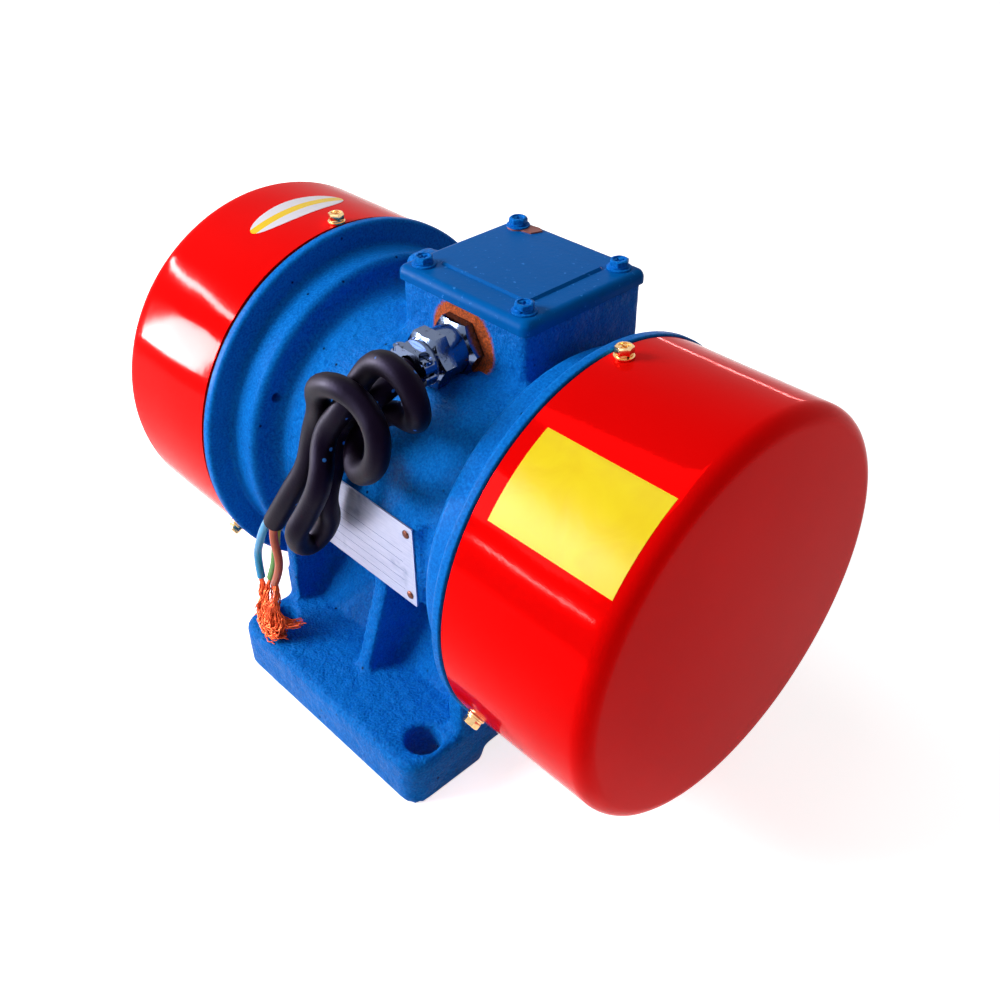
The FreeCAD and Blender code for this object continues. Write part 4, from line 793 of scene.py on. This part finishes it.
jacket, tree, shader = finish_named("black_rubber_sheath", Specular_IOR_Level=0.12,
    Specular_Tint=linear("#A58CF0"))
place = add(tree, "TexCoord").outputs["Object"]
smears = add(tree, "TexNoise", {"Vector": place, "Scale": 60.0, "Detail": 4.0})
tint = add(tree, "Mix", {0: smears, 6: linear("#020001"), 7: linear("#0C050C")}, data_type="RGBA")
overspray = add(tree, "TexVoronoi", {"Vector": place, "Scale": 1 / (9 * mm)}, feature="F1")
chosen = add(tree, "SeparateColor", {0: overspray.outputs["Color"]})
few = add(tree, "Math", {0: chosen, 1: 0.55}, operation="GREATER_THAN")
dot = add(tree, "MapRange", {"Value": overspray, "From Min": 0.08, "From Max": 0.13, "To Min": 1.0,
    "To Max": 0.0})
drops = add(tree, "Math", {0: few, 1: dot}, operation="MULTIPLY")
flecked = add(tree, "Mix", {0: drops, 6: tint, 7: linear("#3F86E0")}, data_type="RGBA")
matt = add(tree, "MapRange", {"Value": smears, "From Min": 0.3, "From Max": 0.7, "To Min": 0.40,
    "To Max": 0.54})
grain = add(tree, "TexNoise", {"Vector": place, "Scale": 1 / (1.2 * mm), "Detail": 3.0})
creased = add(tree, "Bump", {"Height": grain, "Distance": 0.08 * mm})
feed(shader, {"Base Color": flecked, "Roughness": matt, "Normal": creased})
lead, lead_path = cord_tube("lead", lead_route, lead_diameter, jacket, "power_cable")

# Each core's bared end is a bundle of fine copper strands. They were untwisted, crushed into one tangle
# and left lying on the foot. The strands follow a few guide lines and splay out from them.
strand_guides = [
    [(-73, -104, 62), (-71.6, -105, 56.5), (-68.6, -106.4, 51), (-67, -108.5, 45), (-69, -111, 40)],
    [(-66, -101.5, 64.5), (-67.4, -103.5, 57.5), (-67.2, -106, 51), (-62.5, -109, 44.5), (-58, -112, 41)],
    [(-56, -105, 68.5), (-53.6, -106, 63.5), (-54.2, -107.6, 56), (-57.5, -109.5, 49), (-56, -112, 43)],
    [(-68.2, -107, 49), (-71, -110, 42), (-67.5, -112.5, 36), (-61, -114, 33.4), (-56, -114.3, 34.5)],
    [(-66, -107, 50), (-61, -110, 46), (-59.5, -113, 40), (-63, -113.5, 35), (-56.5, -113, 33.5),
     (-50.5, -110, 36)],
    [(-55, -108, 54), (-57.5, -110.5, 46.5), (-53, -112.5, 41.5), (-58, -114, 37.5), (-53, -115, 34),
     (-48, -111.5, 34.5)],
    [(-54, -108, 55), (-50.5, -109.5, 48), (-47.6, -110.5, 42), (-51, -113, 37), (-57, -113, 36.5)],
    [(-60, -109, 47), (-54.5, -110.5, 44.5), (-49.5, -107.5, 43), (-46.5, -103.5, 40.5),
     (-43.5, -100.8, 41.8)],
    [(-62, -110, 42), (-55, -113.5, 40), (-49, -111.5, 37), (-50.5, -108.5, 33.6), (-57, -109, 34)]]
strands, given = growing_tree("splayed_strands", {"Strand Count": "Int", "Strand Radius": "Float",
    "Bundle Radius": "Float", "Splay": "Float", "Crimp": "Float", "Seed": "Int", "Finish": "Material"})
even = add(strands, "GeometryNodeResampleCurve", {"Curve": given["Geometry"], "Count": 26}, mode="COUNT")
many = add(strands, "GeometryNodeDuplicateElements", {"Geometry": even, "Amount": given["Strand Count"]},
    domain="SPLINE")
line_index = add(strands, "GeometryNodeCurveOfPoint")
drawn = add(strands, "FunctionNodeRandomValue", {0: (-1, -1, -1), 1: (1, 1, 1), "ID": line_index,
    "Seed": given["Seed"]}, data_type="FLOAT_VECTOR")
along = add(strands, "GeometryNodeSplineParameter")
flare = add(strands, "Math", {0: along, 1: given["Splay"], 2: given["Bundle Radius"]},
    operation="MULTIPLY_ADD")
aside = add(strands, "VectorMath", {0: drawn, "Scale": flare}, operation="SCALE")
where = add(strands, "GeometryNodeInputPosition")
shifted = add(strands, "VectorMath", {0: where, 1: aside}, operation="ADD")
curls = add(strands, "TexNoise", {"Vector": shifted, "Scale": 210.0, "Detail": 2.0})
centred = add(strands, "VectorMath", {0: curls.outputs["Color"], 1: (0.5, 0.5, 0.5)}, operation="SUBTRACT")
crimp = add(strands, "VectorMath", {0: centred, "Scale": given["Crimp"]}, operation="SCALE")
offset = add(strands, "VectorMath", {0: aside, 1: crimp}, operation="ADD")
moved = add(strands, "GeometryNodeSetPosition", {"Geometry": many, "Offset": offset})
ring = add(strands, "GeometryNodeCurvePrimitiveCircle", {"Resolution": 6, "Radius": given["Strand Radius"]})
wire = add(strands, "GeometryNodeCurveToMesh", {"Curve": moved, "Profile Curve": ring, "Fill Caps": True})
made_real(strands, given, wire)

copper = worked_metal("bare_copper_wire", "#EE6A3A", 0.38, 0.9 * mm, 0.05 * mm, 0.85, worn="#B83C18")
guide_curve = bpy.data.curves.new("strand_guides", "CURVE")
guide_curve.dimensions = "3D"
for guide in strand_guides:
    smooth_line(guide_curve, [Vector(place) * mm for place in guide])
tangle = in_scene("copper_tangle", guide_curve)
grow(tangle, strands, {"Strand Count": 22, "Strand Radius": 0.34 * mm, "Bundle Radius": 1.1 * mm,
    "Splay": 2.8 * mm, "Crimp": 5.0 * mm, "Seed": 3, "Finish": copper})
foot_top = 31.0 * mm
foot_clearance = 0.1 * mm
tangle_mesh = plain_mesh(tangle)
for v in tangle_mesh.vertices:
    v.co.z = max(v.co.z, foot_top + foot_clearance)
tangle_mesh.shade_smooth()
tail = piece("copper_tangle", tangle_mesh, None, stands_for=["copper_strands"])

# The cores are copper in plain PVC sleeves: blue, brown, and yellow with a green stripe for earth.
# The sleeves are satin and slightly scuffed.
core_diameter = 4.8 * mm
core_routes = {
    "wire_blue": [(-0.0522, -0.1033, 0.1183), (-0.0582, -0.1042, 0.1089), (-0.0675, -0.1035, 0.093),
                  (-0.076, -0.103, 0.076), (-0.073, -0.104, 0.062)],
    "wire_yellow_green": [(-0.0486, -0.0993, 0.1157), (-0.053, -0.0996, 0.108), (-0.055, -0.101, 0.094),
                          (-0.0585, -0.1015, 0.079), (-0.066, -0.1015, 0.0645)],
    "wire_brown": [(-0.0473, -0.1042, 0.1153), (-0.0495, -0.1048, 0.106), (-0.0475, -0.104, 0.092),
                   (-0.0505, -0.1045, 0.079), (-0.056, -0.105, 0.0685)]}
core_looks = {"wire_blue": ("#0B86C2", "#18A3DC", "core_blue", 0.062),
              "wire_yellow_green": ("#D8C21E", "#3E8A1C", "core_yellow_green", 0.055),
              "wire_brown": ("#A63C12", "#C4562A", "core_brown", 0.049)}
for name, route in core_routes.items():
    colour, second, slot, length = core_looks[name]
    sleeve, tree, shader = finish_named("pvc_sleeve_" + name, Roughness=0.34, Specular_IOR_Level=0.4)
    place = add(tree, "TexCoord").outputs["Object"]
    scuffs = add(tree, "TexNoise", {"Vector": place, "Scale": 160.0, "Detail": 3.0})
    if name == "wire_yellow_green":
        around = add(tree, "Attribute", attribute_name="side")
        choice = add(tree, "MapRange", {"Value": around.outputs["Fac"], "From Min": 0.55, "From Max": 0.62})
    else:
        choice = scuffs
    two = add(tree, "Mix", {0: choice, 6: linear(colour), 7: linear(second)}, data_type="RGBA")
    feed(shader, {"Base Color": two})
    relief = add(tree, "Bump", {"Height": scuffs, "Distance": 0.05 * mm})
    feed(shader, {"Normal": relief})
    made, path = cord_tube("core_" + name, route, core_diameter, sleeve, name)

# A pale studio floor, a soft window light, narrow cards that only gloss shows, and the photograph's
# point of view. The background is white to the eye and to gloss, and dim to the paint.
floor_mesh = bpy.data.meshes.new("studio_floor")
floor_mesh.from_pydata([(-6, -6, 0), (6, -6, 0), (6, 6, 0), (-6, 6, 0)], [], [(0, 1, 2, 3)])
floor = in_scene("studio_floor", floor_mesh)
world = bpy.data.worlds.new("studio")
bpy.context.scene.world = world
world.use_nodes = True
white, floor_tree, shader = finish_named("studio_white", Roughness=0.9, Specular_IOR_Level=0.1,
    Base_Color=linear("#F4F4F4"), Emission_Color=(1, 1, 1, 1))
floor_mesh.materials.append(white)
room_fill = 0.17
for tree, socket, low, high in ((floor_tree, shader.inputs["Emission Strength"], 0.0, 0.78),
                                (world.node_tree, world.node_tree.nodes["Background"].inputs["Strength"],
                                 room_fill, 1.0)):
    rays = add(tree, "LightPath").outputs
    seen = add(tree, "Math", {0: rays["Is Camera Ray"], 1: rays["Is Glossy Ray"]}, operation="MAXIMUM")
    seen = add(tree, "Math", {0: seen, 1: rays["Is Transmission Ray"]}, operation="MAXIMUM")
    level = add(tree, "MapRange", {"Value": seen, "To Min": low, "To Max": high})
    tree.links.new(level.outputs[0], socket)
world.node_tree.nodes["Background"].inputs["Color"].default_value = (1, 1, 1, 1)

motor_centre = Vector((0.0, 0.0, 0.13))


def softbox(name, azimuth, elevation, distance, width, height, watts, gloss_only=False):
    """A rectangular soft lamp that looks at the motor; azimuth 0 is in front of the gland side, -Y."""
    a, e = math.radians(azimuth), math.radians(elevation)
    out = Vector((math.sin(a) * math.cos(e), -math.cos(a) * math.cos(e), math.sin(e)))
    lamp = bpy.data.lights.new(name, "AREA")
    lamp.shape, lamp.size, lamp.size_y, lamp.energy = "RECTANGLE", width, height, watts
    made = in_scene(name, lamp)
    made.location = motor_centre + out * distance
    made.rotation_euler = (-out).to_track_quat("-Z", "Y").to_euler()
    made.visible_diffuse = not gloss_only


softbox("window_softbox", -38, 30, 1.7, 0.80, 0.60, 30)
softbox("top_softbox", -60, 74, 1.7, 0.90, 0.90, 6)
softbox("broad_streak_card", -54.5, 9.5, 1.6, 0.14, 0.44, 50, gloss_only=True)
softbox("thin_streak_card", -66, 26.5, 1.6, 0.34, 0.045, 14, gloss_only=True)
softbox("right_streak_card", -25.2, 11.9, 1.6, 0.30, 0.022, 10, gloss_only=True)
softbox("horizon_card", -158.5, 4.5, 1.6, 0.38, 0.010, 0.6, gloss_only=True)

eye = Vector((374.3, -331.0, 484.1)) * mm
view_azimuth, view_elevation, view_roll = (math.radians(d) for d in (46.53, 37.29, -0.54))
lens = 38.43
level_reach = math.cos(view_elevation)
back = Vector((math.sin(view_azimuth) * level_reach, -math.cos(view_azimuth) * level_reach,
               math.sin(view_elevation)))
level_right = Vector((math.cos(view_azimuth), math.sin(view_azimuth), 0))
level_up = back.cross(level_right)
right = level_right * math.cos(view_roll) + level_up * math.sin(view_roll)
up = level_up * math.cos(view_roll) - level_right * math.sin(view_roll)
camera = bpy.data.cameras.new("camera")
camera.sensor_width, camera.lens = 36.0, lens
viewer = in_scene("camera", camera)
viewer.matrix_world = Matrix.Translation(eye) @ Matrix((right, up, back)).transposed().to_4x4()
bpy.context.scene.camera = viewer
bpy.context.scene.view_settings.view_transform = "Standard"
